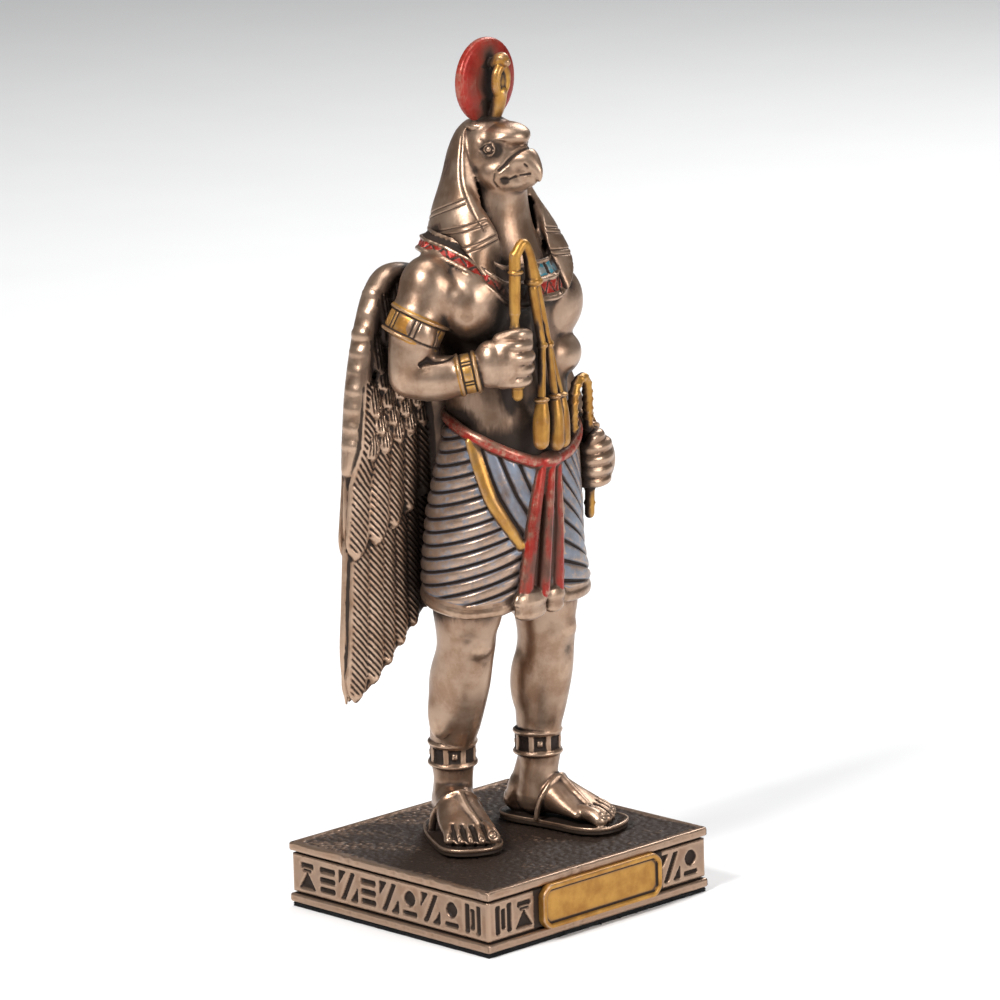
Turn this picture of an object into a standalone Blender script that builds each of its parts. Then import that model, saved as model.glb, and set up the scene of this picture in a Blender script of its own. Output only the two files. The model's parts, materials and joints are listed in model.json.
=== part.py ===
"""A small falcon-headed figure with folded wings, on a square plinth with a felt pad.

The figure faces -Y and +Z is up. The origin is the centre of the pad's underside.
The plinth, the pad and their fits follow the sizes below, in metres. The figure is a
free form: its points are in units of which FIGURE_UNITS make its height, so that its
pose, proportions and carving are shares of FIGURE_HEIGHT.
"""
from math import atan2, cos, degrees, exp, pi, radians, sin, sqrt

import bmesh
import bpy
from mathutils import Matrix, Vector

# Figure
FIGURE_HEIGHT = 0.0830
FIGURE_UNITS = 83.0
FIGURE_TURN = radians(6.0)
FIGURE_OFFSET = (0.0014, 0.0003)
FIGURE_TRIANGLES = 8200
FORM_VOXEL = 0.3

# Plinth and its mouldings
PLINTH_WIDTH = 0.0320
PLINTH_DEPTH = 0.0295
PLINTH_HEIGHT = 0.0064
SLAB_THICKNESS = 0.0009
SLAB_ROUNDING = 0.00025
WALL_INSET = 0.00025
GROOVE_DEPTH = 0.0004
GROOVE_WIDTH = 0.0003
CORNER_RADIUS = 0.0004
CORNER_STEPS = 2

# Sunk strokes on the plinth's walls
STROKE_DEPTH = 0.00035
STROKE_WIDTH = 0.0005
STROKE_MARGIN = 0.0006
STROKE_CELL = 0.0030
HIDDEN_CELL = 0.0048

# Nameplate
PLATE_LENGTH = 0.0172
PLATE_HEIGHT = 0.0047
PLATE_THICKNESS = 0.0008
PLATE_BORDER = 0.0005
PLATE_RECESS = 0.00035
PLATE_NOTCH = 0.0009
PLATE_BITE = 0.0003

# Felt pad, and the gaps that keep the pieces apart
PAD_THICKNESS = 0.0004
PAD_SETBACK = 0.0002
SEAT_GAP = 0.0001

PLINTH_FOOT = PAD_THICKNESS + SEAT_GAP
PLINTH_TOP = PLINTH_FOOT + PLINTH_HEIGHT
FIGURE_FOOT = PLINTH_TOP + SEAT_GAP


def material(name, colour, roughness, metallic):
    """A Principled material of one plain colour."""
    made = bpy.data.materials.new(name)
    made.use_nodes = True
    shader = made.node_tree.nodes["Principled BSDF"]
    shader.inputs["Base Color"].default_value = (*colour, 1.0)
    shader.inputs["Roughness"].default_value = roughness
    shader.inputs["Metallic"].default_value = metallic
    return made


def add_object(name, points, faces, made_of=None):
    """An object of these points and faces, in the scene."""
    mesh = bpy.data.meshes.new(name)
    mesh.from_pydata([tuple(point) for point in points], [], faces)
    mesh.update()
    thing = bpy.data.objects.new(name, mesh)
    bpy.context.scene.collection.objects.link(thing)
    if made_of:
        mesh.materials.append(made_of)
    return thing


# Closed shells, each a pair of points and faces

def blend(rows, steps):
    """Rows of numbers led smoothly through the given ones, steps to each span."""
    ends = [rows[0], *rows, rows[-1]]
    result = []
    for before, start, end, after in zip(ends, ends[1:], ends[2:], ends[3:]):
        for step in range(steps):
            t = step / steps
            result.append(tuple(
                0.5 * (2 * b + (c - a) * t + (2 * a - 5 * b + 4 * c - d) * t * t
                       + (3 * b - a - 3 * c + d) * t ** 3)
                for a, b, c, d in zip(before, start, end, after)))
    result.append(tuple(rows[-1]))
    return result


def skin(rings):
    """A shell through rings of equally many points, its two ends closed by fans."""
    count = len(rings[0])
    points = [Vector(point) for ring in rings for point in ring]
    faces = []
    for row in range(len(rings) - 1):
        for side in range(count):
            after = (side + 1) % count
            low = row * count
            faces.append((low + side, low + after, low + count + after, low + count + side))
    for row, turned in ((0, True), (len(rings) - 1, False)):
        centre = sum(points[row * count:(row + 1) * count], Vector()) / count
        points.append(centre)
        for side in range(count):
            after = (side + 1) % count
            pair = (after, side) if turned else (side, after)
            faces.append((row * count + pair[0], row * count + pair[1], len(points) - 1))
    return points, faces


def column(rows, sides=32, power=2.0, steps=4, surface=None):
    """A shell of level rings: rows hold height, centre x and y, half width, half depth."""
    rings = []
    for z, x, y, half_width, half_depth in blend(rows, steps):
        ring = []
        for side in range(sides):
            angle = 2 * pi * side / sides
            c, s = cos(angle), sin(angle)
            reach = (abs(c) ** power + abs(s) ** power) ** (-1 / power)
            out = 1.0 if surface is None else surface(angle, z)
            ring.append((x + half_width * c * reach * out, y + half_depth * s * reach * out, z))
        rings.append(ring)
    return skin(rings)


def rod(path, sides=14, steps=4, up=(0, 0, 1), ends=3):
    """A shell round a path of x, y, z, half width and half height, with domed ends."""
    rows = [row if len(row) == 5 else (*row, row[3]) for row in path]
    rows = blend(rows, steps)
    spots = [Vector(row[:3]) for row in rows]
    sizes = [(row[3], row[4]) for row in rows]
    across = [(spots[min(i + 1, len(spots) - 1)] - spots[max(i - 1, 0)]).normalized()
              for i in range(len(spots))]
    stations = []
    for step in range(ends, 0, -1):
        angle = 0.5 * pi * step / (ends + 0.35)
        stations.append((spots[0] - across[0] * sin(angle) * min(sizes[0]), across[0],
                         sizes[0], cos(angle)))
    stations += [(spot, aim, size, 1.0) for spot, aim, size in zip(spots, across, sizes)]
    for step in range(1, ends + 1):
        angle = 0.5 * pi * step / (ends + 0.35)
        stations.append((spots[-1] + across[-1] * sin(angle) * min(sizes[-1]), across[-1],
                         sizes[-1], cos(angle)))
    rings = []
    for spot, aim, (wide, high), share in stations:
        side_way = aim.cross(Vector(up)).normalized()
        high_way = side_way.cross(aim).normalized()
        rings.append([spot + side_way * wide * share * cos(2 * pi * side / sides)
                      + high_way * high * share * sin(2 * pi * side / sides)
                      for side in range(sides)])
    return skin([list(reversed(ring)) for ring in rings])


def ball(centre, radii, turn=(0, 0, 0), sides=18):
    """An ellipsoid, turned by degrees about X, Y and Z in that order."""
    spin = (Matrix.Rotation(radians(turn[2]), 3, "Z") @ Matrix.Rotation(radians(turn[1]), 3, "Y")
            @ Matrix.Rotation(radians(turn[0]), 3, "X"))
    levels = sides // 2
    rings = []
    for level in range(1, levels):
        tilt = pi * level / levels - 0.5 * pi
        rings.append([Vector(centre) + spin @ Vector((
            radii[0] * cos(tilt) * cos(2 * pi * side / sides),
            radii[1] * cos(tilt) * sin(2 * pi * side / sides),
            radii[2] * sin(tilt))) for side in range(sides)])
    return skin(rings)


def mirrored(shell, squeeze=1.0):
    """The same shell on the figure's other side."""
    points, faces = shell
    return ([Vector((-point[0] * squeeze, point[1], point[2])) for point in points],
            [tuple(reversed(face)) for face in faces])


def both(shell):
    return [shell, mirrored(shell)]


# Head: falcon's skull, brow, eyes and hooked beak

def head():
    skull = ball((0, -0.8, 71.3), (3.2, 4.0, 3.8))
    cheeks = ball((0, -1.9, 69.6), (3.1, 3.2, 2.9))
    forehead = ball((0, -3.0, 72.9), (2.1, 2.0, 1.2), (-14, 0, 0))
    throat = rod([(0, -1.4, 63.0, 3.6, 3.0), (0, -1.6, 66.0, 3.2, 2.6),
                  (0, -2.1, 68.4, 2.6, 2.2)], sides=20, up=(0, 1, 0))
    beak = rod([(0, -3.6, 70.7, 2.0, 1.7), (0, -5.3, 70.9, 1.55, 1.45),
                (0, -6.3, 70.3, 1.05, 1.15), (0, -6.85, 69.4, 0.55, 0.7),
                (0, -6.85, 68.8, 0.25, 0.3)], sides=16)
    jaw = rod([(0, -3.2, 68.5, 2.0, 1.1), (0, -5.0, 68.7, 1.4, 0.75),
               (0, -6.3, 69.0, 0.7, 0.4)], sides=14)
    brow = rod([(-2.9, -1.3, 73.0, 0.5), (-2.5, -3.1, 73.1, 0.55),
                (-1.4, -4.5, 72.7, 0.55), (-0.4, -5.0, 72.4, 0.45)], sides=10)
    eye = ball((-2.65, -2.8, 71.6), (0.75, 1.05, 0.85), (0, 0, 28))
    return [skull, cheeks, forehead, throat, beak, jaw, *both(brow), *both(eye)]


HOOD_ROWS = [(74.9, 0, 0.6, 1.2, 1.4), (74.2, 0, 0.7, 2.5, 2.8), (73.0, 0, 0.8, 3.4, 3.5),
             (71.0, 0, 0.6, 4.5, 4.2), (68.0, 0, 0.5, 5.4, 4.6), (65.0, 0, 0.2, 6.2, 5.2),
             (62.4, 0, -0.1, 6.7, 5.8), (60.4, 0, -0.3, 6.9, 6.2), (58.6, 0, -0.4, 6.9, 6.4)]


def hood_relief(angle, height):
    """The cloth is open round the face and throat, and its foot dips to two lappets."""
    turn = abs(degrees(atan2(cos(angle), -sin(angle))))
    opening = 96 - 58 * min(1.0, max(0.0, (74.5 - height) / 9.0)) ** 0.8
    foot = 59.0 + 5.2 * min(1.0, max(0.0, (turn - 48) / 60))
    if turn < opening or height < foot:
        return 0.55
    return 1.0


def headcloth():
    """The cloth over the back of the head, whose two lappets lie on the chest."""
    return [column(list(reversed(HOOD_ROWS)), sides=72, steps=7, surface=hood_relief)]


def crown():
    """The disc on the head, with the rearing cobra before it."""
    rings = []
    for y, reach in ((0.75, 3.0), (0.7, 3.6), (0.4, 3.93), (0, 4.0), (-0.4, 3.93), (-0.7, 3.6),
                     (-0.85, 3.0), (-0.95, 1.5)):
        rings.append([(reach * cos(2 * pi * side / 36), y, 79.0 + reach * sin(2 * pi * side / 36))
                      for side in range(36)])
    disc = skin(rings)
    seat = ball((0, 0.2, 75.1), (1.9, 1.5, 0.9))
    tail = rod([(0, -1.6, 75.0, 0.6), (0, -1.9, 76.6, 0.75), (0, -2.1, 78.0, 0.7)], sides=10)
    hood = []
    for side in (-1, 1):
        hood.append(rod([(0, -2.0, 77.4, 0.45), (side * 0.85, -2.1, 78.6, 0.45),
                         (side * 0.75, -2.2, 79.8, 0.45), (0, -2.3, 80.6, 0.5)], sides=10))
    face = rod([(0, -1.6, 80.4, 0.75), (0, -2.4, 80.9, 0.7), (0, -2.9, 80.6, 0.5)], sides=10)
    return [disc, seat, tail, *hood, face]


def torso():
    trunk = column([(37.0, 0.1, -1.3, 8.0, 6.0), (41.0, 0.1, -1.6, 7.6, 5.7),
                    (45.0, 0.1, -1.7, 7.2, 5.3), (49.0, 0.1, -1.5, 7.9, 5.2),
                    (53.0, 0, -1.2, 9.2, 5.3), (56.5, 0, -0.9, 10.0, 5.3),
                    (59.5, 0, -0.4, 10.0, 4.8), (61.8, 0, 0.1, 8.0, 4.0),
                    (63.6, 0, 0.0, 5.0, 3.5), (66.0, 0, -0.5, 3.9, 3.4)], sides=40, power=2.2)
    chest = ball((-4.5, -4.0, 55.4), (4.7, 2.5, 3.3), (0, 8, 12))
    belly = ball((0.1, -3.4, 44.6), (4.9, 4.1, 3.8))
    shells = [trunk, *both(chest), belly]
    for height in (48.2, 50.9):
        shells += both(ball((-1.7, -5.5, height), (1.6, 1.1, 1.3)))
    for height in (47.6, 49.8, 51.8):
        shells += both(ball((-6.2, -3.9, height), (1.7, 1.4, 0.9), (0, 20, 30)))
    return shells


def arms():
    shells = []
    shells.append(ball((-9.6, 0.1, 58.2), (2.9, 3.0, 4.0), (0, -10, 0)))
    shells.append(ball((8.9, 0.3, 57.0), (2.8, 2.9, 3.9), (0, 10, 0)))
    shells.append(rod([(-9.9, 0.2, 58.6, 2.7), (-11.5, 0.4, 54.6, 2.6),
                       (-12.2, 0.6, 50.6, 2.35)], sides=18))
    shells.append(rod([(-12.1, 0.6, 50.3, 2.35), (-10.6, -1.8, 50.1, 2.3), (-8.6, -4.6, 50.5, 1.65),
                       (-7.2, -6.0, 51.2, 1.4)], sides=18))
    shells.append(rod([(9.3, 0.3, 57.4, 2.6), (10.4, 0.8, 53.4, 2.4), (11.0, 1.3, 48.2, 2.1)],
                      sides=18))
    shells.append(rod([(11.0, 1.3, 48.3, 2.1), (11.1, -1.4, 44.0, 2.0), (10.4, -4.2, 40.2, 1.5),
                       (10.0, -5.2, 38.8, 1.4)], sides=18))
    return shells


def armband(path, width, bulge):
    """A band round an arm or a leg, with a raised rim along each edge."""
    start, end = Vector(path[0]), Vector(path[1])
    reach = (end - start).normalized() * 0.5 * width
    middle = 0.5 * (start + end)
    low, high = middle - reach, middle + reach
    shells = [rod([(*low, bulge), (*high, bulge)], sides=24, steps=2, ends=1,
                  up=(0.3, 1, 0.2))]
    rise = 0.16
    edge = (end - start).normalized() * 0.22
    for spot in (low, high):
        shells.append(rod([(*(spot - edge), bulge + rise), (*(spot + edge), bulge + rise)],
                          sides=24, steps=2, ends=1, up=(0.3, 1, 0.2)))
    return shells


def bands():
    """Two armbands, the bracelets and the anklets."""
    shells = armband(((-10.6, 0.3, 57.4), (-11.9, 0.5, 53.0)), 2.6, 2.85)
    shells += armband(((9.9, 0.4, 57.2), (10.6, 0.8, 53.0)), 2.6, 2.7)
    shells += armband(((-9.6, -3.4, 50.3), (-8.2, -5.1, 50.7)), 2.3, 2.05)
    shells += armband(((11.0, -2.8, 42.2), (10.5, -4.0, 40.6)), 2.2, 1.95)
    shells += armband(((-3.35, 4.0, 10.4), (-3.25, 4.15, 7.0)), 2.4, 2.3)
    shells += armband(((4.75, -0.3, 10.3), (4.7, -0.35, 7.0)), 2.4, 2.3)
    return shells


def fist(grip, palm_side, height, reach):
    """A closed hand round an upright shaft: its back, four fingers and a thumb."""
    x, y, z = grip
    side = palm_side
    shells = [ball((x + side * 1.5, y + 0.7, z), (1.6, 1.6, 0.5 * height + 0.3))]
    for finger in range(4):
        level = z + (finger - 1.5) * height / 4
        thick = 0.66 if finger in (1, 2) else 0.6
        shells.append(rod([(x + side * 2.2, y - 0.1, level, thick),
                           (x + side * 1.5, y - reach + 0.2, level, thick),
                           (x - side * 0.1, y - reach - 0.1, level, thick),
                           (x - side * 1.2, y - reach + 0.8, level, thick),
                           (x - side * 0.7, y + 0.6, level, thick)], sides=10))
    shells.append(rod([(x + side * 1.7, y + 0.6, z + 0.5 * height - 0.2, 0.7),
                       (x + side * 0.4, y - 0.8, z + 0.5 * height + 0.45, 0.65),
                       (x - side * 0.9, y - 0.9, z + 0.5 * height + 0.2, 0.55)], sides=10))
    return shells


def flail():
    """The flail in the right hand: a rod, a bent joint and three beaded strands."""
    x, y = -4.7, -7.4
    shells = [rod([(x, y, 47.8, 0.62), (x - 0.2, y - 0.2, 62.4, 0.62)], sides=12)]
    for height in (49.0, 58.8):
        shells.append(ball((x - 0.1, y - 0.1, height), (0.85, 0.85, 0.35)))
    shells.append(rod([(x - 0.2, y - 0.2, 62.3, 0.62), (x + 0.6, y - 0.3, 63.4, 0.6),
                       (x + 1.3, y - 0.3, 62.4, 0.6), (x + 1.9, y - 0.4, 59.8, 0.75)], sides=12))
    shells.append(ball((x + 1.9, y - 0.4, 59.5), (1.05, 0.95, 0.6)))
    for strand in (-1, 0, 1):
        top = Vector((x + 2.0 + 0.35 * strand, y - 0.45, 59.0))
        bottom = Vector((-0.6 + 1.15 * strand, -7.5 + 0.25 * abs(strand), 43.0))
        spots = [top.lerp(bottom, share) for share in (0, 0.42, 0.74, 1)]
        shells.append(rod([(*spots[0], 0.42), (*spots[1], 0.46), (*spots[2], 0.46)], sides=10))
        shells.append(rod([(*spots[2], 0.5), (*spots[3], 0.62)], sides=12))
        for spot in spots[1:3]:
            shells.append(ball(spot, (0.7, 0.7, 0.4)))
    return shells


def crook():
    """The crook in the left hand, its shaft and hook twisted like rope."""
    x, y = 8.4, -5.5
    span = 1.85
    route = [(x, y, 32.8), (x, y - 0.1, 38.0), (x, y - 0.1, 44.4)]
    for step in range(1, 6):
        angle = pi * step / 6
        route.append((x - span + span * cos(angle), y - 0.2, 45.2 + 1.9 * sin(angle)))
    route.append((x - 2 * span, y - 0.4, 42.6))
    route.append((x - 2 * span - 0.1, y - 0.5, 40.2))
    shells = [rod([(*spot, 0.62) for spot in route], sides=10)]
    path = blend(route, 6)
    for index in range(3, len(path) - 2, 3):
        shells.append(ball(path[index], (0.85, 0.85, 0.6), sides=10))
    return shells


# Kilt: its surface is a function of the angle and the height

KILT_ROWS = [(24.2, 0.3, -0.4, 10.1, 6.9), (26.4, 0.1, -0.5, 9.9, 6.9),
             (30.0, -0.3, -0.6, 9.3, 6.8), (35.0, -0.3, -0.9, 8.8, 6.6),
             (39.0, -0.2, -1.3, 8.2, 6.2), (42.5, 0.0, -1.6, 7.6, 5.8),
             (45.0, 0.1, -1.7, 7.1, 5.4)]
KILT_HEM = 1.3
PLEAT_PITCH = 1.55
PLEAT_DEPTH = 0.42
PLEAT_HALF_WIDTH = 0.24
BAND_TOP = (-64.0, 43.0)
BAND_FOOT = (-24.0, 30.6)


def kilt_angle(height):
    """The angle, in degrees from the front, of the diagonal band at a height."""
    share = (BAND_TOP[1] - height) / (BAND_TOP[1] - BAND_FOOT[1])
    return BAND_TOP[0] + (BAND_FOOT[0] - BAND_TOP[0]) * share


def pleat_field(turn, height):
    """Which pleat a spot of the kilt lies on: whole numbers are its grooves."""
    if turn > 0:
        return (height - 5.5 * (1 - turn / 180) ** 3) / PLEAT_PITCH
    edge = kilt_angle(height)
    if height > BAND_FOOT[1] and turn > edge:
        return (turn - edge) * 0.15 / PLEAT_PITCH
    return (height - 3.0 * (1 + turn / 180) ** 2) / PLEAT_PITCH


def kilt_relief(angle, height):
    """The share of the kilt's radius that is left at an angle and a height."""
    turn = degrees(atan2(cos(angle), -sin(angle)))
    field = pleat_field(turn, height)
    away = abs(field - round(field)) * PLEAT_PITCH
    cut = PLEAT_DEPTH * exp(-(away / PLEAT_HALF_WIDTH) ** 2)
    if height < KILT_ROWS[0][0] + KILT_HEM:
        cut = 0.0
    thigh = 0.5 * cos(2 * radians(abs(turn) - 48)) if abs(turn) < 93 else -0.5
    return 1.0 + (thigh * 0.55 - cut) / 8.0


def kilt_spot(turn, height, out=0.0):
    """A point of the kilt's plain surface, or so far out from it."""
    rows = blend(KILT_ROWS, 8)
    z, x, y, half_width, half_depth = min(rows, key=lambda row: abs(row[0] - height))
    c, s = sin(radians(turn)), -cos(radians(turn))
    reach = (abs(c) ** 2.3 + abs(s) ** 2.3) ** (-1 / 2.3)
    return Vector((x + (half_width * reach + out) * c, y + (half_depth * reach + out) * s, height))


def kilt():
    skirt = column(KILT_ROWS, sides=132, power=2.3, steps=14, surface=kilt_relief)
    stripe = []
    for share in (0, 0.25, 0.5, 0.75, 1.0):
        height = BAND_TOP[1] + (BAND_FOOT[1] - BAND_TOP[1]) * share
        stripe.append((*kilt_spot(kilt_angle(height), height, 0.05), 0.95, 0.45))
    band = rod(stripe, up=(-0.5, -0.9, 0.0), sides=12, steps=2)
    hem = []
    for share in range(49):
        turn = 360 * share / 48 - 180
        hem.append((*kilt_spot(turn, KILT_ROWS[0][0] + 0.5 * KILT_HEM, -0.25), 0.42, 0.62))
    return [skirt, band, rod(hem, sides=8, steps=1, ends=1)]


def belt():
    """The belt, high over the hips and low under the belly."""
    route = []
    for share in range(41):
        turn = 2 * pi * share / 40
        route.append((0.15 + 7.85 * sin(turn), -1.75 - 5.75 * cos(turn),
                      43.2 - 2.2 * cos(turn), 0.55, 0.8))
    return [rod(route, sides=10, steps=1, ends=1)]


def sash():
    """The sash that hangs from the belt: three folds with tasselled ends."""
    shells = [ball((-0.1, -7.6, 41.2), (1.5, 0.9, 1.2))]
    for fold in (-1, 0, 1):
        top = (fold * 0.95 - 0.2, -7.4, 40.6, 0.62, 0.6)
        middle = (fold * 1.45 - 0.7, -7.85 + 0.2 * abs(fold), 33.0, 0.9, 0.7)
        foot = (fold * 2.0 - 1.2, -7.9 + 0.3 * abs(fold), 25.2, 1.25, 0.75)
        shells.append(rod([top, middle, foot], up=(0, 1, 0), sides=12))
        shells.append(rod([(foot[0], foot[1] - 0.05, 25.6, 1.35, 0.85),
                           (foot[0], foot[1] - 0.05, 23.9, 1.45, 0.85)],
                          up=(0, 1, 0), sides=12, ends=1))
    shells.append(rod([(-0.6, -6.6, 41.0, 2.0, 0.8), (-1.0, -7.0, 33.0, 2.6, 0.9),
                       (-1.2, -7.1, 24.6, 3.2, 0.9)], up=(0, 1, 0), sides=14, ends=1))
    return shells


def collar():
    """The broad collar: a flat band laid round the neck, over the shoulders."""
    route = []
    for share in range(49):
        turn = 2 * pi * share / 48
        front = 0.5 + 0.5 * cos(turn)
        route.append((7.6 * sin(turn) * (1 - 0.1 * front), 0.1 - 4.7 * cos(turn) - 0.6 * front,
                      61.4 - 3.4 * front, 0.55, 1.75))
    rings = []
    for x, y, z, thick, half in route:
        away = Vector((x, 1.25 * y, 0)).normalized()
        slope = (away * 0.80 - Vector((0, 0, 1)) * 0.60).normalized()
        over = (away * 0.60 + Vector((0, 0, 1)) * 0.80).normalized()
        rings.append([Vector((x, y, z)) + slope * half * cos(2 * pi * side / 16)
                      + over * thick * sin(2 * pi * side / 16) for side in range(16)])
    return [skin(rings)]


# Legs, feet and sandals

NEAR_FOOT = {"heel": (-1.2, 7.3), "toe": (-9.5, -4.1), "inner": -1}
FAR_FOOT = {"heel": (4.5, 4.2), "toe": (6.7, -10.2), "inner": 1}
SOLE_THICKNESS = 0.8


def legs():
    near = rod([(-4.9, -0.4, 30.0, 4.3), (-5.0, 0.0, 25.5, 3.6, 3.9), (-4.7, 0.7, 20.6, 2.9, 3.1),
                (-4.4, 1.9, 16.8, 3.0, 3.3), (-4.0, 2.9, 13.0, 2.5, 2.8), (-3.5, 3.8, 9.4, 1.85, 2.1),
                (-3.2, 4.2, 5.6, 1.85, 2.0), (-3.0, 4.6, 2.8, 2.0, 2.3)], sides=20, up=(0, 1, 0))
    far = rod([(4.9, -1.6, 30.0, 4.3), (4.9, -1.9, 25.5, 3.6, 3.8), (4.9, -2.1, 20.4, 2.9, 3.1),
               (4.9, -1.5, 16.6, 2.9, 3.2), (4.9, -0.9, 13.0, 2.5, 2.8), (4.8, -0.5, 9.4, 1.85, 2.1),
               (4.6, -0.5, 5.6, 1.85, 2.0), (4.3, -0.6, 2.8, 2.0, 2.3)], sides=20, up=(0, 1, 0))
    knees = [ball((-5.0, -1.5, 21.4), (1.8, 1.3, 2.1)), ball((4.9, -4.2, 21.2), (1.8, 1.3, 2.1))]
    return [near, far, *knees]


def foot_frame(foot):
    heel, toe = Vector((*foot["heel"], 0)), Vector((*foot["toe"], 0))
    along = (toe - heel).normalized()
    across = Vector((0, 0, 1)).cross(along) * -foot["inner"]
    return heel, along, across, (toe - heel).length


def sole_half_width(share, side):
    """Half the sandal's width at a share of its length, on its inner or outer side."""
    wide = 0.175 + 0.095 * share - 0.03 * sin(pi * min(1.0, share / 0.75)) * side
    return wide * sqrt(max(0.0, 1 - abs(2 * share - 1) ** 5))


def foot(side):
    heel, along, across, length = foot_frame(side)

    def spot(share, aside, height):
        return heel + along * (share * length) + across * (aside * length) + Vector((0, 0, height))

    outline = []
    for step in range(24):
        angle = 2 * pi * step / 24
        share = 0.5 - 0.5 * cos(angle)
        flank = 1 if sin(angle) >= 0 else -1
        outline.append((share, flank * sole_half_width(share, flank)))
    rings = []
    for height, inset in ((0.0, 0.94), (0.15, 1.0), (SOLE_THICKNESS, 1.0), (SOLE_THICKNESS, 0.9)):
        rings.append([spot(share, aside * inset, height) for share, aside in outline])
    sole = skin(rings if side["inner"] < 0 else [list(reversed(ring)) for ring in rings])
    base = SOLE_THICKNESS - 0.15
    path = [(0.12, 0.0, 1.7, 1.7, 1.6), (0.25, 0.0, 2.7, 2.1, 2.6), (0.42, 0.0, 2.4, 2.4, 2.2),
            (0.62, 0.0, 1.65, 2.8, 1.4), (0.77, 0.0, 1.15, 2.9, 0.9)]
    instep = rod([(*spot(share, aside, height + base), wide, high)
                  for share, aside, height, wide, high in path], sides=18)
    shells = [sole, instep]
    toes = ((0.145, 0.92, 0.85), (0.06, 0.93, 0.62), (-0.018, 0.915, 0.6), (-0.09, 0.885, 0.58),
            (-0.158, 0.845, 0.55))
    for aside, tip, size in toes:
        shells.append(rod([(*spot(tip - 0.16, aside * 0.85, 1.15 + base), size * 0.95, size),
                           (*spot(tip - 0.04, aside, size + 0.1 + base), size, size * 0.9)],
                          sides=10))
    strap = 0.3
    crest = spot(0.50, 0.0, 4.3 + base)
    for flank in (-1, 1):
        shells.append(rod([(*crest, strap), (*spot(0.47, flank * 0.11, 3.6 + base), strap),
                           (*spot(0.42, flank * 0.18, 1.9 + base), strap),
                           (*spot(0.40, flank * 0.19, 0.3 + base), strap)], sides=8))
    shells.append(rod([(*crest, strap), (*spot(0.64, 0.03, 3.05 + base), strap),
                       (*spot(0.80, 0.08, 1.7 + base), strap)], sides=8))
    return shells


# Wings: a thick rim, small overlapping coverts and two tiers of long feathers

WING_DEPTH = 5.9
WING_BACK = 1.15


def wing_edge(height):
    """How far out the wing reaches at a height."""
    rows = [(16.5, 17.3), (22.0, 17.4), (32.0, 17.0), (41.0, 16.0), (48.0, 14.7), (54.0, 13.0),
            (58.0, 10.9), (60.2, 7.8)]
    for (low, near), (high, far) in zip(rows, rows[1:]):
        if height <= high:
            return near + (far - near) * (height - low) / (high - low)
    return rows[-1][1]


def wing_top(out):
    """The height of the wing's upper edge, a little inside its rim, so far out."""
    height = 59.0
    while height > 16.0 and wing_edge(height) < out + 1.2:
        height -= 0.25
    return height


def plume(root, tip, width, thick, face, lift=0.25):
    """A feather: flat, with a rounded tip that stands a little off what lies under it."""
    root, tip = Vector(root), Vector(tip)
    away = Vector((0, face, 0))
    length = (tip - root).length
    round_off = min(0.45, 0.5 * width / length)
    rows = []
    shares = [0, 0.3, 0.6, 1 - round_off, 1 - 0.55 * round_off, 1 - 0.2 * round_off, 1 - 0.03 * round_off]
    for share in shares:
        fall = max(0.0, (share - (1 - round_off)) / round_off)
        half = 0.5 * width * sqrt(max(0.02, 1 - fall ** 2))
        spot = root.lerp(tip, share) + away * lift * share
        rows.append((*spot, half * (0.9 + 0.1 * min(1.0, 3 * share)), thick))
    return rod(rows, up=away, sides=10, steps=1, ends=1)


def feather_rows(face):
    """The feathers of one wing on its front, face -1, or its back, face 1."""
    shells = []
    plane = WING_DEPTH + face * 0.55
    rise = face

    def place(out, height, layer):
        return (-out, plane + rise * layer, height)

    # Primaries end on a slope that runs out and down to the wing's tip
    count = 6
    for index in range(count):
        share = (index + 0.5) / count
        foot_z = 25.4 - 8.8 * share
        foot_x = 4.8 + 11.8 * share
        root_x = 5.0 + 9.6 * share
        shells.append(plume(place(root_x, 40.0, 0.0), place(foot_x, foot_z, 0.0), 2.55, 0.7, face))
    # Secondaries end on a slope that runs from the hip out to the step in the outline
    for index in range(5):
        share = (index + 0.5) / 5
        foot_z = 37.2 - 6.2 * share
        foot_x = 5.0 + 11.2 * share
        root_x = 4.6 + 9.2 * share
        shells.append(plume(place(root_x, 49.0, 0.35), place(foot_x, foot_z, 0.45), 2.75, 0.75, face))
    # Coverts overlap like tiles, each row set off by half a feather
    rows = 8
    for row in range(rows):
        level = 43.2 + 2.1 * row
        reach = wing_edge(level) - 1.4
        across = max(2, int((reach - 2.0) / 1.95))
        shift = 0.5 * (row % 2)
        for index in range(across):
            out = reach - (index + shift + 0.3) * 1.95
            foot_z = level - 0.30 * (out - 8.0)
            root_z = min(foot_z + 3.4, wing_top(out))
            if out < 2.0 or root_z < foot_z + 1.5:
                continue
            shells.append(plume(place(out, root_z, 0.55), place(out + 0.2, foot_z, 0.75),
                                2.1, 0.55, face, 0.3))
    return shells


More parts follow.
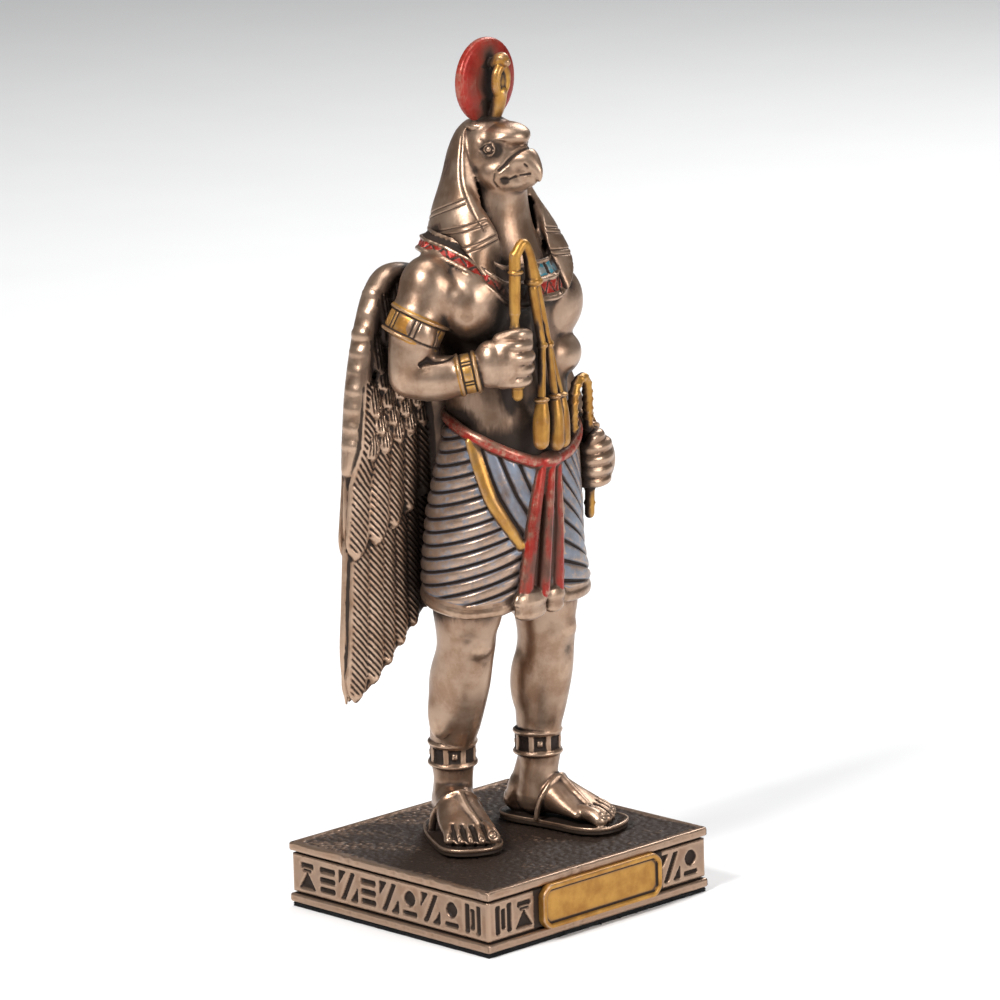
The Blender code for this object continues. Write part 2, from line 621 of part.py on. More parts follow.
def wing():
    """The right wing, folded behind the figure."""
    outline = []
    for height in (17.2, 19.0, 22.0, 25.0, 28.0, 34.0, 40.0, 46.0, 51.0, 55.0, 58.0):
        reach = wing_edge(height) - 0.9
        inner = max(2.0, 14.6 - 1.35 * (height - 17.2))
        centre = -0.5 * (reach + inner)
        outline.append((height, centre, WING_DEPTH, 0.5 * (reach - inner), 0.8))
    sheet = column(outline, sides=20, power=4.0, steps=3)
    rim_rows = []
    for height in (40.5, 44.0, 48.0, 52.0, 55.5, 58.2):
        rim_rows.append((-wing_edge(height) + 0.75, WING_DEPTH, height, 0.95, 1.35))
    rim_rows += [(-8.2, WING_DEPTH - 0.1, 59.4, 1.0, 1.35), (-5.6, WING_DEPTH - 0.6, 58.9, 1.0, 1.3),
                 (-3.2, WING_DEPTH - 1.2, 57.2, 1.0, 1.2)]
    rim = rod(rim_rows, up=(0, 1, 0), sides=14)
    shells = [sheet, rim]
    for lower, upper in ((17.4, 33.0), (31.8, 42.0)):
        rows = []
        for share in (0, 0.3, 0.6, 1.0):
            height = lower + (upper - lower) * share
            rows.append((-wing_edge(height) + 0.75, WING_DEPTH, height, 0.8, 1.15))
        shells.append(rod(rows, up=(0, 1, 0), sides=12))
    for knot in range(9):
        height = 43.0 + 1.85 * knot
        shells.append(ball((-wing_edge(height) + 0.45, WING_DEPTH, height), (0.85, 1.1, 1.15)))
    root = column([(27.0, -2.4, 4.6, 2.6, 1.4), (34.0, -2.4, 4.2, 3.0, 2.0), (44.0, -2.4, 3.8, 3.2, 2.0),
                   (52.0, -2.8, 4.2, 3.6, 2.0), (58.5, -2.6, 3.8, 2.8, 1.6)], sides=18)
    return [*shells, root, *feather_rows(-1), *feather_rows(1)]


def wings():
    shells = []
    for shell in wing():
        shells.append(shell)
        shells.append(mirrored(shell, 0.95))
    return shells


def figure_shells():
    """Every form of the figure, in the order it is listed in the report."""
    groups = [head(), headcloth(), crown(), torso(), arms(), bands(),
              fist((-4.7, -7.3, 51.6), -1, 5.0, 1.2), fist((8.4, -5.6, 38.2), 1, 4.6, 1.2),
              flail(), crook(), kilt(), belt(), sash(), collar(), legs(),
              foot(NEAR_FOOT), foot(FAR_FOOT), wings()]
    return [shell for group in groups for shell in group]


def triangle_count(thing):
    evaluated = thing.evaluated_get(bpy.context.evaluated_depsgraph_get())
    return sum(len(polygon.vertices) - 2 for polygon in evaluated.data.polygons)


def build_figure():
    """One closed body: the forms are fused by a remesh, eased and thinned out."""
    points, faces = [], []
    for shell_points, shell_faces in figure_shells():
        start = len(points)
        points += shell_points
        faces += [tuple(start + corner for corner in face) for face in shell_faces]
    bronze = material("worn bronze", (0.52, 0.38, 0.28), 0.4, 0.85)
    figure = add_object("figure", points, faces, bronze)
    figure.scale = (FIGURE_HEIGHT / FIGURE_UNITS,) * 3
    figure.rotation_euler = (0, 0, FIGURE_TURN)
    figure.location = (*FIGURE_OFFSET, FIGURE_FOOT)
    fuse = figure.modifiers.new("fuse the forms", "REMESH")
    fuse.mode = "VOXEL"
    fuse.voxel_size = FORM_VOXEL
    ease = figure.modifiers.new("ease the surface", "SMOOTH")
    ease.factor = 0.5
    ease.iterations = 1
    thin = figure.modifiers.new("thin out the faces", "DECIMATE")
    thin.use_collapse_triangulate = True
    thin.ratio = FIGURE_TRIANGLES / triangle_count(figure)
    return figure


# Plinth, nameplate and felt pad

def rounded_rectangle(half_width, half_depth, radius, height):
    """Points of a rectangle with round corners, counter-clockwise from above."""
    ring = []
    for corner, (sx, sy) in enumerate(((1, 1), (-1, 1), (-1, -1), (1, -1))):
        for step in range(CORNER_STEPS + 1):
            angle = 0.5 * pi * (corner + step / CORNER_STEPS)
            ring.append((sx * (half_width - radius) + radius * cos(angle),
                         sy * (half_depth - radius) + radius * sin(angle), height))
    return ring


def plinth_block(made_of):
    """The block: two slabs with a wall between them, each parted from it by a groove."""
    top = PLINTH_HEIGHT
    wall = WALL_INSET
    groove = WALL_INSET + GROOVE_DEPTH
    soft = SLAB_ROUNDING
    lower = SLAB_THICKNESS
    upper = top - SLAB_THICKNESS
    profile = [(soft, 0), (0, soft), (0, lower - 0.5 * soft), (0.5 * soft, lower),
               (groove, lower), (groove, lower + GROOVE_WIDTH), (wall, lower + GROOVE_WIDTH),
               (wall, upper - GROOVE_WIDTH), (groove, upper - GROOVE_WIDTH), (groove, upper),
               (0.5 * soft, upper), (0, upper + 0.5 * soft), (0, top - soft),
               (0.3 * soft, top - 0.3 * soft), (soft, top)]
    rings = []
    for inset, height in profile:
        rings.append(rounded_rectangle(0.5 * PLINTH_WIDTH - inset, 0.5 * PLINTH_DEPTH - inset,
                                       CORNER_RADIUS, PLINTH_FOOT + height))
    return add_object("plinth", *skin(rings), made_of)


def prism(outline, near, far, place):
    """A shell between two copies of an outline; place turns along, up and out into a point."""
    rings = [[place(along, up, out) for along, up in outline] for out in (near, far)]
    return skin(rings)


def box_outline(along, up, width, height, lean=0.0):
    half, tall = 0.5 * width, 0.5 * height
    return [(along - half - lean, up - tall), (along + half - lean, up - tall),
            (along + half + lean, up + tall), (along - half + lean, up + tall)]


def disc_outline(along, up, radius, sides=9):
    return [(along + radius * cos(2 * pi * step / sides), up + radius * sin(2 * pi * step / sides))
            for step in range(sides)]


def stroke_group(kind, along, tall):
    """The sunk outlines of one cell: strokes, blades, wedges or discs that spell nothing."""
    thick = STROKE_WIDTH
    half = 0.5 * tall
    if kind == 0:
        return [box_outline(along - 1.6 * thick, 0, thick, tall),
                box_outline(along, -0.15 * tall, thick, 0.7 * tall),
                box_outline(along + 1.6 * thick, 0, thick, tall)]
    if kind == 1:
        return [box_outline(along, 0, 1.1 * thick, tall, 0.25 * tall),
                disc_outline(along - 1.9 * thick, 0.28 * tall, 0.9 * thick)]
    if kind == 2:
        return [[(along - 2.2 * thick, -half), (along + 2.2 * thick, -half), (along, 0.1 * tall)],
                box_outline(along, 0.36 * tall, 3.6 * thick, 0.8 * thick)]
    if kind == 3:
        return [disc_outline(along, -0.12 * tall, 1.5 * thick, 12),
                box_outline(along, 0.42 * tall, 3.4 * thick, 0.7 * thick)]
    return [box_outline(along, level * tall, 4.2 * thick, 0.8 * thick)
            for level in (-0.4, -0.02, 0.36)]


def wall_places():
    """Each stretch of wall: its placing function, its ends, and whether it is in full."""
    half_width = 0.5 * PLINTH_WIDTH
    half_depth = 0.5 * PLINTH_DEPTH
    middle = PLINTH_FOOT + 0.5 * PLINTH_HEIGHT
    margin = CORNER_RADIUS + STROKE_MARGIN
    wide, deep = half_width - margin, half_depth - margin
    plate = 0.5 * PLATE_LENGTH + STROKE_MARGIN
    front = lambda along, up, out: (along, -half_depth + WALL_INSET - out, middle + up)
    back = lambda along, up, out: (-along, half_depth - WALL_INSET + out, middle + up)
    left = lambda along, up, out: (-half_width + WALL_INSET - out, -along, middle + up)
    right = lambda along, up, out: (half_width - WALL_INSET + out, along, middle + up)
    return [(front, (-wide, -plate), True), (front, (plate, wide), True),
            (left, (-deep, deep), True), (back, (-wide, wide), False),
            (right, (-deep, deep), False)]


def stroke_cutter():
    """All the sunk strokes as one cutter."""
    tall = (PLINTH_HEIGHT - 2 * SLAB_THICKNESS - 2 * GROOVE_WIDTH - 2 * STROKE_MARGIN)
    points, faces = [], []
    for wall, (place, (start, end), seen) in enumerate(wall_places()):
        cells = max(1, round((end - start) / (STROKE_CELL if seen else HIDDEN_CELL)))
        for cell in range(cells):
            along = start + (end - start) * (cell + 0.5) / cells
            kind = (2 * cell + cell // 3 + wall) % 5 if seen else 4 * (cell % 2)
            for outline in stroke_group(kind, along, tall):
                shell = prism(outline, -STROKE_DEPTH, STROKE_WIDTH, place)
                points, faces = joined(points, faces, shell)
    return guide("stroke cutter", points, faces)


def joined(points, faces, shell):
    start = len(points)
    return (points + list(shell[0]),
            faces + [tuple(start + corner for corner in face) for face in shell[1]])


def guide(name, points, faces):
    """A hidden body that a modifier reads, its faces turned out."""
    body = add_object(name, points, faces)
    shape = bmesh.new()
    shape.from_mesh(body.data)
    bmesh.ops.recalc_face_normals(shape, faces=shape.faces)
    shape.to_mesh(body.data)
    shape.free()
    body.hide_render = True
    body.display_type = "WIRE"
    return body


def plate_outline(shrink):
    """The nameplate's outline: long, with a bite out of each corner."""
    half = 0.5 * PLATE_LENGTH - shrink
    tall = 0.5 * PLATE_HEIGHT - shrink
    notch = PLATE_NOTCH
    ring = []
    for corner, (sx, sy) in enumerate(((1, 1), (-1, 1), (-1, -1), (1, -1))):
        ends = [(half, tall - notch), (half - PLATE_BITE, tall - notch + PLATE_BITE),
                (half - notch, tall - PLATE_BITE), (half - notch, tall)]
        if corner % 2:
            ends.reverse()
        ring += [(sx * along, sy * up) for along, up in ends]
    return ring


def plate_shell(name, shrink, near, far):
    half_depth = 0.5 * PLINTH_DEPTH
    middle = PLINTH_FOOT + 0.5 * PLINTH_HEIGHT
    place = lambda along, up, out: (along, -half_depth + WALL_INSET - out, middle + up)
    return guide(name, *prism(plate_outline(shrink), near, far, place))


def boolean(thing, other, operation):
    cut = thing.modifiers.new(other.name, "BOOLEAN")
    cut.operation = operation
    cut.object = other


def build_plinth():
    stone = material("dark bronze", (0.30, 0.22, 0.17), 0.5, 0.8)
    plinth = plinth_block(stone)
    boolean(plinth, stroke_cutter(), "DIFFERENCE")
    face = WALL_INSET + PLATE_THICKNESS
    boolean(plinth, plate_shell("nameplate body", 0, -WALL_INSET, face), "UNION")
    boolean(plinth, plate_shell("nameplate recess", PLATE_BORDER, face - PLATE_RECESS,
                                face + PLATE_RECESS), "DIFFERENCE")
    return plinth


def build_pad():
    felt = material("black felt", (0.02, 0.02, 0.02), 0.95, 0.0)
    rings = [rounded_rectangle(0.5 * PLINTH_WIDTH - PAD_SETBACK, 0.5 * PLINTH_DEPTH - PAD_SETBACK,
                               CORNER_RADIUS, height) for height in (0, PAD_THICKNESS)]
    return add_object("felt_pad", *skin(rings), felt)


def main():
    for thing in list(bpy.data.objects):
        bpy.data.objects.remove(thing, do_unlink=True)
    build_pad()
    build_plinth()
    build_figure()


main()
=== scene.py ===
"""The looks of a small cast and painted figure: a man with a falcon's head and folded wings.

The figure's forms are closed shells in millimetres from its soles, facing -Y. Each piece is
its shells fused by a remesh, eased, carved along paths, painted by masks, and then placed in
the frame. The plinth, its nameplate and the felt pad are modelled with Blender's own tools.
"""
import json
from math import cos, pi, radians, sin, sqrt

import bpy
import numpy as np
from mathutils import Matrix, Vector
from mathutils.bvhtree import BVHTree
from mathutils.kdtree import KDTree

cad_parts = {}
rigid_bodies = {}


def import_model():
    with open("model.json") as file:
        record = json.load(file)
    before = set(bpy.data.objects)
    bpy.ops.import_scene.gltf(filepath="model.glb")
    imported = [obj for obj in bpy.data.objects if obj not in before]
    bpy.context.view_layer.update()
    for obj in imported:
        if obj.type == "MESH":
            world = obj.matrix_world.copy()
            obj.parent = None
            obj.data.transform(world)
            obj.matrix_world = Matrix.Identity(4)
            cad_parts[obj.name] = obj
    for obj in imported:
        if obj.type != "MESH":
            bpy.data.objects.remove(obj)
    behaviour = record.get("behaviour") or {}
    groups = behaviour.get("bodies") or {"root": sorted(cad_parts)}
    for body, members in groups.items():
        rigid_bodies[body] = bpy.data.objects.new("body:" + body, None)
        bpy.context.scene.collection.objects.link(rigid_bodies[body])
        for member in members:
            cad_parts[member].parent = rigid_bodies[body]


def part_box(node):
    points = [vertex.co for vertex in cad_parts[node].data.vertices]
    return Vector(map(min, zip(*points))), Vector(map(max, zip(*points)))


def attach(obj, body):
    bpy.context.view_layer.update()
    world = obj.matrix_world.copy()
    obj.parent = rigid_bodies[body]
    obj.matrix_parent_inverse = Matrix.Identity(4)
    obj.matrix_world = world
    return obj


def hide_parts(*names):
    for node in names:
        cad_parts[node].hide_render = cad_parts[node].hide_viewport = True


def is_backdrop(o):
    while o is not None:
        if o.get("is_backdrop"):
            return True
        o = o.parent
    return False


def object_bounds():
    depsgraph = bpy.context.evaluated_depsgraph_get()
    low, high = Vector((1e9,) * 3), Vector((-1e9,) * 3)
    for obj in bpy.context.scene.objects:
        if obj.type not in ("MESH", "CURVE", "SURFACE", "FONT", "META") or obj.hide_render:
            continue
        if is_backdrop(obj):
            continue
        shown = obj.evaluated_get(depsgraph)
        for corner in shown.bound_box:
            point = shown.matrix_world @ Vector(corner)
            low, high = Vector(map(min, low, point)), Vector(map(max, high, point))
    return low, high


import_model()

bl_info = {
    "name": "Falcon-headed figurine",
    "version": (1, 0, 0),
    "blender": (4, 5, 0),
    "location": "3D View > Sidebar > Figurine",
    "description": "Builds the painted figure, its plinth and its felt pad",
    "category": "Add Mesh",
}

MM = 0.001
FAR_OFF = 6.0
FIGURE_TURN = radians(6.0)
FIGURE_OFFSET = (1.4, 0.3)
FIGURE_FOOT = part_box("figure")[0][2] / MM
FIGURE_PLACE = (Matrix.Translation((*FIGURE_OFFSET, FIGURE_FOOT))
                @ Matrix.Rotation(FIGURE_TURN, 4, "Z"))
PLINTH_LOW, PLINTH_HIGH = (Vector(corner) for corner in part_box("plinth"))
PAD_LOW, PAD_HIGH = (Vector(corner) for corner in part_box("felt_pad"))


# Closed shells, each a pair of points and faces, in millimetres

def blend(rows, steps):
    """Rows of numbers led smoothly through the given ones, steps to each span."""
    ends = [rows[0], *rows, rows[-1]]
    result = []
    for before, start, end, after in zip(ends, ends[1:], ends[2:], ends[3:]):
        for step in range(steps):
            t = step / steps
            result.append(tuple(
                0.5 * (2 * b + (c - a) * t + (2 * a - 5 * b + 4 * c - d) * t * t
                       + (3 * b - a - 3 * c + d) * t ** 3)
                for a, b, c, d in zip(before, start, end, after)))
    result.append(tuple(rows[-1]))
    return result


def between(rows, at):
    """The row at a value of its first column, led straight between the given rows."""
    if at <= rows[0][0]:
        return rows[0]
    for low, high in zip(rows, rows[1:]):
        if at <= high[0]:
            share = (at - low[0]) / (high[0] - low[0])
            return tuple(a + (b - a) * share for a, b in zip(low, high))
    return rows[-1]


def skin(rings):
    """A shell through rings of equally many points, its two ends closed by fans."""
    count = len(rings[0])
    points = [Vector(point) for ring in rings for point in ring]
    faces = []
    for row in range(len(rings) - 1):
        for side in range(count):
            after = (side + 1) % count
            low = row * count
            faces.append((low + side, low + after, low + count + after, low + count + side))
    for row, turned in ((0, True), (len(rings) - 1, False)):
        centre = sum(points[row * count:(row + 1) * count], Vector()) / count
        points.append(centre)
        for side in range(count):
            after = (side + 1) % count
            pair = (after, side) if turned else (side, after)
            faces.append((row * count + pair[0], row * count + pair[1], len(points) - 1))
    return points, faces


def column(rows, sides=48, power=2.0, steps=6):
    """A shell of level rings: rows hold height, centre x and y, half width, half depth."""
    rings = []
    for z, x, y, half_width, half_depth in blend(rows, steps):
        ring = []
        for side in range(sides):
            angle = 2 * pi * side / sides
            c, s = cos(angle), sin(angle)
            reach = (abs(c) ** power + abs(s) ** power) ** (-1 / power)
            ring.append((x + half_width * c * reach, y + half_depth * s * reach, z))
        rings.append(ring)
    return skin(rings)


def rod(path, sides=18, steps=5, up=(0, 0, 1), ends=4):
    """A shell round a path of x, y, z, half width and half height, with domed ends."""
    rows = [row if len(row) == 5 else (*row, row[3]) for row in path]
    rows = blend(rows, steps)
    spots = [Vector(row[:3]) for row in rows]
    sizes = [(row[3], row[4]) for row in rows]
    across = [(spots[min(i + 1, len(spots) - 1)] - spots[max(i - 1, 0)]).normalized()
              for i in range(len(spots))]
    stations = []
    for step in range(ends, 0, -1):
        angle = 0.5 * pi * step / (ends + 0.35)
        stations.append((spots[0] - across[0] * sin(angle) * min(sizes[0]), across[0],
                         sizes[0], cos(angle)))
    stations += [(spot, aim, size, 1.0) for spot, aim, size in zip(spots, across, sizes)]
    for step in range(1, ends + 1):
        angle = 0.5 * pi * step / (ends + 0.35)
        stations.append((spots[-1] + across[-1] * sin(angle) * min(sizes[-1]), across[-1],
                         sizes[-1], cos(angle)))
    rings = []
    for spot, aim, (wide, high), share in stations:
        side_way = aim.cross(Vector(up)).normalized()
        high_way = side_way.cross(aim).normalized()
        rings.append([spot + side_way * wide * share * cos(2 * pi * side / sides)
                      + high_way * high * share * sin(2 * pi * side / sides)
                      for side in range(sides)])
    return skin([list(reversed(ring)) for ring in rings])


def ball(centre, radii, turn=(0, 0, 0), sides=28):
    """An ellipsoid, turned by degrees about X, Y and Z in that order."""
    spin = (Matrix.Rotation(radians(turn[2]), 3, "Z") @ Matrix.Rotation(radians(turn[1]), 3, "Y")
            @ Matrix.Rotation(radians(turn[0]), 3, "X"))
    levels = sides // 2
    rings = []
    for level in range(1, levels):
        tilt = pi * level / levels - 0.5 * pi
        rings.append([Vector(centre) + spin @ Vector((
            radii[0] * cos(tilt) * cos(2 * pi * side / sides),
            radii[1] * cos(tilt) * sin(2 * pi * side / sides),
            radii[2] * sin(tilt))) for side in range(sides)])
    return skin(rings)


def mirrored(shell, squeeze=1.0):
    """The same shell on the figure's other side."""
    points, faces = shell
    return ([Vector((-point[0] * squeeze, point[1], point[2])) for point in points],
            [tuple(reversed(face)) for face in faces])


def both(shell):
    return [shell, mirrored(shell)]


def flip(path):
    """The same path on the figure's other side."""
    return [(-x, y, z) for x, y, z in path]


def circle(centre, along, up, wide, high, steps=24):
    """A closed path round a centre, in the plane of two directions."""
    centre, along, up = Vector(centre), Vector(along).normalized(), Vector(up).normalized()
    return [tuple(centre + along * wide * cos(2 * pi * step / steps)
                  + up * high * sin(2 * pi * step / steps)) for step in range(steps + 1)]


def joined(shells):
    """Several shells as one list of points and one of faces."""
    points, faces = [], []
    for shell_points, shell_faces in shells:
        start = len(points)
        points += [tuple(point) for point in shell_points]
        faces += [tuple(start + corner for corner in face) for face in shell_faces]
    return points, faces


# Helpers for numbers and places

def ramp(value, width):
    """A value led from 0 to 1 over a width."""
    return np.clip(value / width, 0, 1)


def bell(away, width):
    """1 at a line and less beside it, over a half width."""
    return np.exp(-(away / width) ** 2)


def tree_of(spots):
    """A tree that finds the nearest of the spots."""
    tree = KDTree(len(spots))
    for index, spot in enumerate(spots):
        tree.insert(spot, index)
    tree.balance()
    return tree


def weighed(close, values, ease):
    """The mean of the found places' values, in which the nearer ones count for more."""
    weights = [1 / (away + ease) for _, _, away in close]
    return sum(values[found] * w for (_, found, _), w in zip(close, weights)) / sum(weights)


# Working on one object with Blender's own operators

def select_only(thing):
    if bpy.context.object and bpy.context.object.mode != "OBJECT":
        bpy.ops.object.mode_set(mode="OBJECT")
    for other in bpy.context.view_layer.objects:
        other.select_set(other == thing)
    bpy.context.view_layer.objects.active = thing


def apply_modifier(thing, kind, **settings):
    select_only(thing)
    bpy.ops.object.modifier_add(type=kind)
    modifier = thing.modifiers[-1]
    for name, value in settings.items():
        setattr(modifier, name, value)
    bpy.ops.object.modifier_apply(modifier=modifier.name)


def add_object(name, points, faces):
    mesh = bpy.data.meshes.new(name)
    mesh.from_pydata([tuple(point) for point in points], [], faces)
    mesh.update()
    thing = bpy.data.objects.new(name, mesh)
    bpy.context.scene.collection.objects.link(thing)
    return thing


# Casting: fused forms that are carved, painted by masks and placed in the frame

# The most triangles that each casting keeps, with under a million in the whole object
TRIANGLES = {"figure_head": 125000, "figure_body": 140000, "figure_regalia": 80000,
             "figure_kilt": 130000, "figure_legs": 105000, "figure_wings": 175000,
             "plinth_block": 150000}


class Casting:
    """Forms fused into one skin. Groups hold the shells of each paint by its name."""

    def __init__(self, name, groups, voxel, ease=2):
        self.groups = {paint: joined(shells) for paint, shells in groups.items()}
        self.thing = add_object(name, *joined([s for shells in groups.values() for s in shells]))
        if voxel:
            apply_modifier(self.thing, "REMESH", mode="VOXEL",
                           voxel_size=voxel * 1.0)
            apply_modifier(self.thing, "SMOOTH", factor=0.5, iterations=ease)
        self.read()

    @classmethod
    def of(cls, thing):
        """Takes up an object that is modelled already."""
        cast = cls.__new__(cls)
        cast.thing = thing
        cast.read()
        return cast

    def read(self):
        """Reads the mesh into arrays, with nothing carved or inked yet."""
        mesh = self.thing.data
        count = len(mesh.vertices)
        self.spots = np.empty(count * 3)
        mesh.vertices.foreach_get("co", self.spots)
        self.spots = self.spots.reshape(-1, 3)
        self.read_normals()
        self.depth = np.zeros(count)
        self.rise = np.zeros(count)
        self.ink = np.zeros(count)
        self.masks = {}

    def read_normals(self):
        flat = np.empty(self.spots.size, dtype=np.float32)
        self.thing.data.vertex_normals.foreach_get("vector", flat)
        self.normals = flat.reshape(-1, 3).astype(float)

    # Marks darken the inked lines and joints, and in a few places they paint shade and shadow
    def mark(self, depth=0.0, ink=0.0, rise=0.0, where=slice(None)):
        """Deepens, darkens and raises the spots to at least so much."""
        for kept, least in ((self.depth, depth), (self.ink, ink), (self.rise, rise)):
            kept[where] = np.maximum(kept[where], least)

    def near_path(self, path, width, reach):
        """The spots near a path, and how far each lies from it along the surface."""
        path = np.array(path, dtype=float)
        margin = 2.6 * width + 0.3
        low, high = path.min(axis=0) - margin - reach, path.max(axis=0) + margin + reach
        found = np.where(((self.spots > low) & (self.spots < high)).all(axis=1))[0]
        if not len(found):
            return found, np.zeros(0)
        spots, normals = self.spots[found], self.normals[found]
        best = np.full(len(found), 1e9)
        for start, end in zip(path, path[1:]):
            span = end - start
            length = max(span @ span, 1e-9)
            share = np.clip(((spots - start) @ span) / length, 0, 1)
            gap = spots - start - share[:, None] * span
            height = (gap * normals).sum(axis=1)
            flat = np.linalg.norm(gap - height[:, None] * normals, axis=1)
            flat = np.where(np.abs(height) < reach, flat, 1e9)
            best = np.minimum(best, flat)
        return found, best

    def groove(self, path, width=0.16, depth=0.2, ink=0.8, reach=1.0):
        """A line cut along a path: its half width, its depth and how dark it is filled."""
        found, away = self.near_path(path, width, reach)
        cut = bell(away, width)
        self.mark(depth=cut * depth, ink=cut * ink, where=found)

    def ridge(self, path, width=0.2, height=0.2, reach=1.0):
        """A raised line along a path."""
        found, away = self.near_path(path, width, reach)
        self.mark(rise=bell(away, width) * height, where=found)

    def press(self, centre, radius, depth, ink=0.0):
        """A soft hollow, or a swelling where the depth is negative."""
        away = np.linalg.norm(self.spots - np.array(centre), axis=1) / radius
        cut = np.exp(-away ** 2)
        self.spots -= self.normals * (cut * depth)[:, None]
        self.mark(ink=cut * ink)

    def carve(self):
        """Cuts what is marked so far into the surface."""
        self.spots += self.normals * (self.rise - self.depth)[:, None]
        self.write()

    def write(self):
        self.thing.data.vertices.foreach_set("co", self.spots.ravel())
        self.thing.data.update()

    def distances(self):
        """How far each spot lies from the nearest shell of each paint."""
        found = {}
        for paint, (points, faces) in self.groups.items():
            tree = BVHTree.FromPolygons(points, faces)
            nearest = [tree.find_nearest(spot, FAR_OFF)[3] for spot in self.spots]
            found[paint] = np.array([FAR_OFF if away is None else away for away in nearest])
        return found

    def paint_masks(self, soft=0.12):
        """A mask for each paint: 1 where its forms lie nearest."""
        if len(self.groups) == 1:
            return
        found = self.distances()
        for paint, own in found.items():
            if paint == "bronze":
                continue
            others = np.min([away for name, away in found.items() if name != paint], axis=0)
            self.masks[paint] = np.clip(0.5 + (others - own) / (2 * soft), 0, 1)

    def save(self, name, values):
        """A float attribute that the materials read."""
        layer = self.thing.data.attributes.get(name)
        if layer is None:
            layer = self.thing.data.attributes.new(name, "FLOAT", "POINT")
        layer.data.foreach_set("value", np.ascontiguousarray(values, dtype=np.float32))

    def smoothed(self, spots, rounds, weight=1.0):
        """The spots drawn towards their neighbours again and again, as much as the weight says."""
        mesh = self.thing.data
        ends = np.empty(len(mesh.edges) * 2, dtype=np.int64)
        mesh.edges.foreach_get("vertices", ends)
        ends = ends.reshape(-1, 2)
        count = len(spots)
        near = np.bincount(ends.ravel(), minlength=count)[:, None].clip(1)
        both_ways = np.r_[ends[:, 0], ends[:, 1]]
        other_ways = np.r_[ends[:, 1], ends[:, 0]]
        share = 0.5 * (weight[:, None] if isinstance(weight, np.ndarray) else weight)
        for _ in range(rounds):
            total = np.stack([np.bincount(both_ways, spots[other_ways, axis], count)
                              for axis in range(3)], axis=1)
            spots = spots + share * (total / near - spots)
        return spots

    def soften(self, rounds, weight):
        """Leads the forms into each other, as much as the weight of each spot says."""
        self.spots = self.smoothed(self.spots, rounds, weight)
        self.write()
        self.read_normals()

    def relief(self):
        """How far each spot lies below or above the surface once that is smoothed."""
        smooth = self.spots
        levels = []
        for rounds in (4, 26, 90):
            smooth = self.smoothed(smooth, rounds)
            levels.append(((smooth - self.spots) * self.normals).sum(axis=1))
        return levels

    def finish(self, place=None):
        """Thins the mesh where it is too heavy, keeps the masks and places the piece."""
        for paint, mask in self.masks.items():
            self.save(paint, mask)
        self.save("ink", self.ink)
        triangles = 2 * len(self.thing.data.polygons)
        limit = TRIANGLES.get(self.thing.name, triangles)
        if triangles > limit:
            apply_modifier(self.thing, "DECIMATE", ratio=limit / triangles,
                           use_collapse_triangulate=True)
        ink = np.empty(len(self.thing.data.vertices), dtype=np.float32)
        self.thing.data.attributes["ink"].data.foreach_get("value", ink)
        self.read()
        fine, middle, broad = self.relief()
        hollow = ramp(fine, 0.05) * 0.5 + ramp(middle, 0.14) * 0.55
        hollow += ramp(broad, 0.35) * 0.35
        worn = ramp(-fine, 0.035) * 0.6 + ramp(-middle, 0.12) * 0.6
        self.save("hollow", np.clip(hollow, 0, 1))
        self.save("worn", np.clip(worn, 0, 1))
        self.save("ink", ink)
        self.thing.data.transform(Matrix.Scale(MM, 4) @ (place or FIGURE_PLACE))
        self.thing.data.update()
        select_only(self.thing)
        bpy.ops.object.shade_smooth()
        return self.thing


def keep(thing, node):
    """The piece rides with the body and stands for its node, whose own part is hidden."""
    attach(thing, "root")
    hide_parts(node)


def complete(cast, finish_name, paints, wash_and_shade_share=1.0):
    """Ends a casting of the figure: its mesh, its finish and what it stands for."""
    thing = cast.finish()
    thing.data.materials.append(cast_finish(finish_name, paints, wash_and_shade_share))
    keep(thing, "figure")


# Head: falcon's skull, brow, eyes and hooked beak

def head_shells():
    """The skull, the brow, the neck, the two halves of the beak and the eyes' mounds."""
    shells = [ball((0, -0.8, 71.3), (3.25, 4.0, 3.8)), ball((0, -1.9, 69.7), (3.15, 3.3, 2.9)),
              ball((0, -3.4, 73.0), (1.5, 1.9, 1.0), (-8, 0, 0))]
    shells += both(ball((-1.35, -2.8, 73.0), (1.4, 1.85, 0.7), (-10, 12, 24)))
    shells.append(ball((0, -2.5, 73.35), (2.5, 2.7, 1.4)))
    shells.append(rod([(0, -1.9, 57.5, 4.6, 4.5), (0, -1.7, 61.0, 4.2, 3.9), (0, -1.6, 64.0, 3.6, 3.0),
                       (0, -1.8, 66.5, 3.0, 2.5), (0, -2.1, 68.4, 2.6, 2.2)], sides=28, up=(0, 1, 0)))
    shells.append(rod([(0, -3.6, 70.7, 2.0, 1.7), (0, -5.0, 70.95, 1.6, 1.5),
                       (0, -5.9, 70.5, 1.1, 1.1), (0, -6.6, 69.8, 0.58, 0.7),
                       (0, -6.85, 69.1, 0.25, 0.3)], sides=24))
    shells.append(rod([(0, -3.2, 68.5, 2.1, 1.15), (0, -4.8, 68.8, 1.45, 0.9),
                       (0, -5.9, 69.2, 0.9, 0.65)], sides=20))
    shells += both(ball((-2.45, -2.55, 72.3), (0.85, 1.0, 0.8)))
    shells.append(ball((0, -5.0, 69.7), (1.35, 1.6, 0.8)))
    return shells


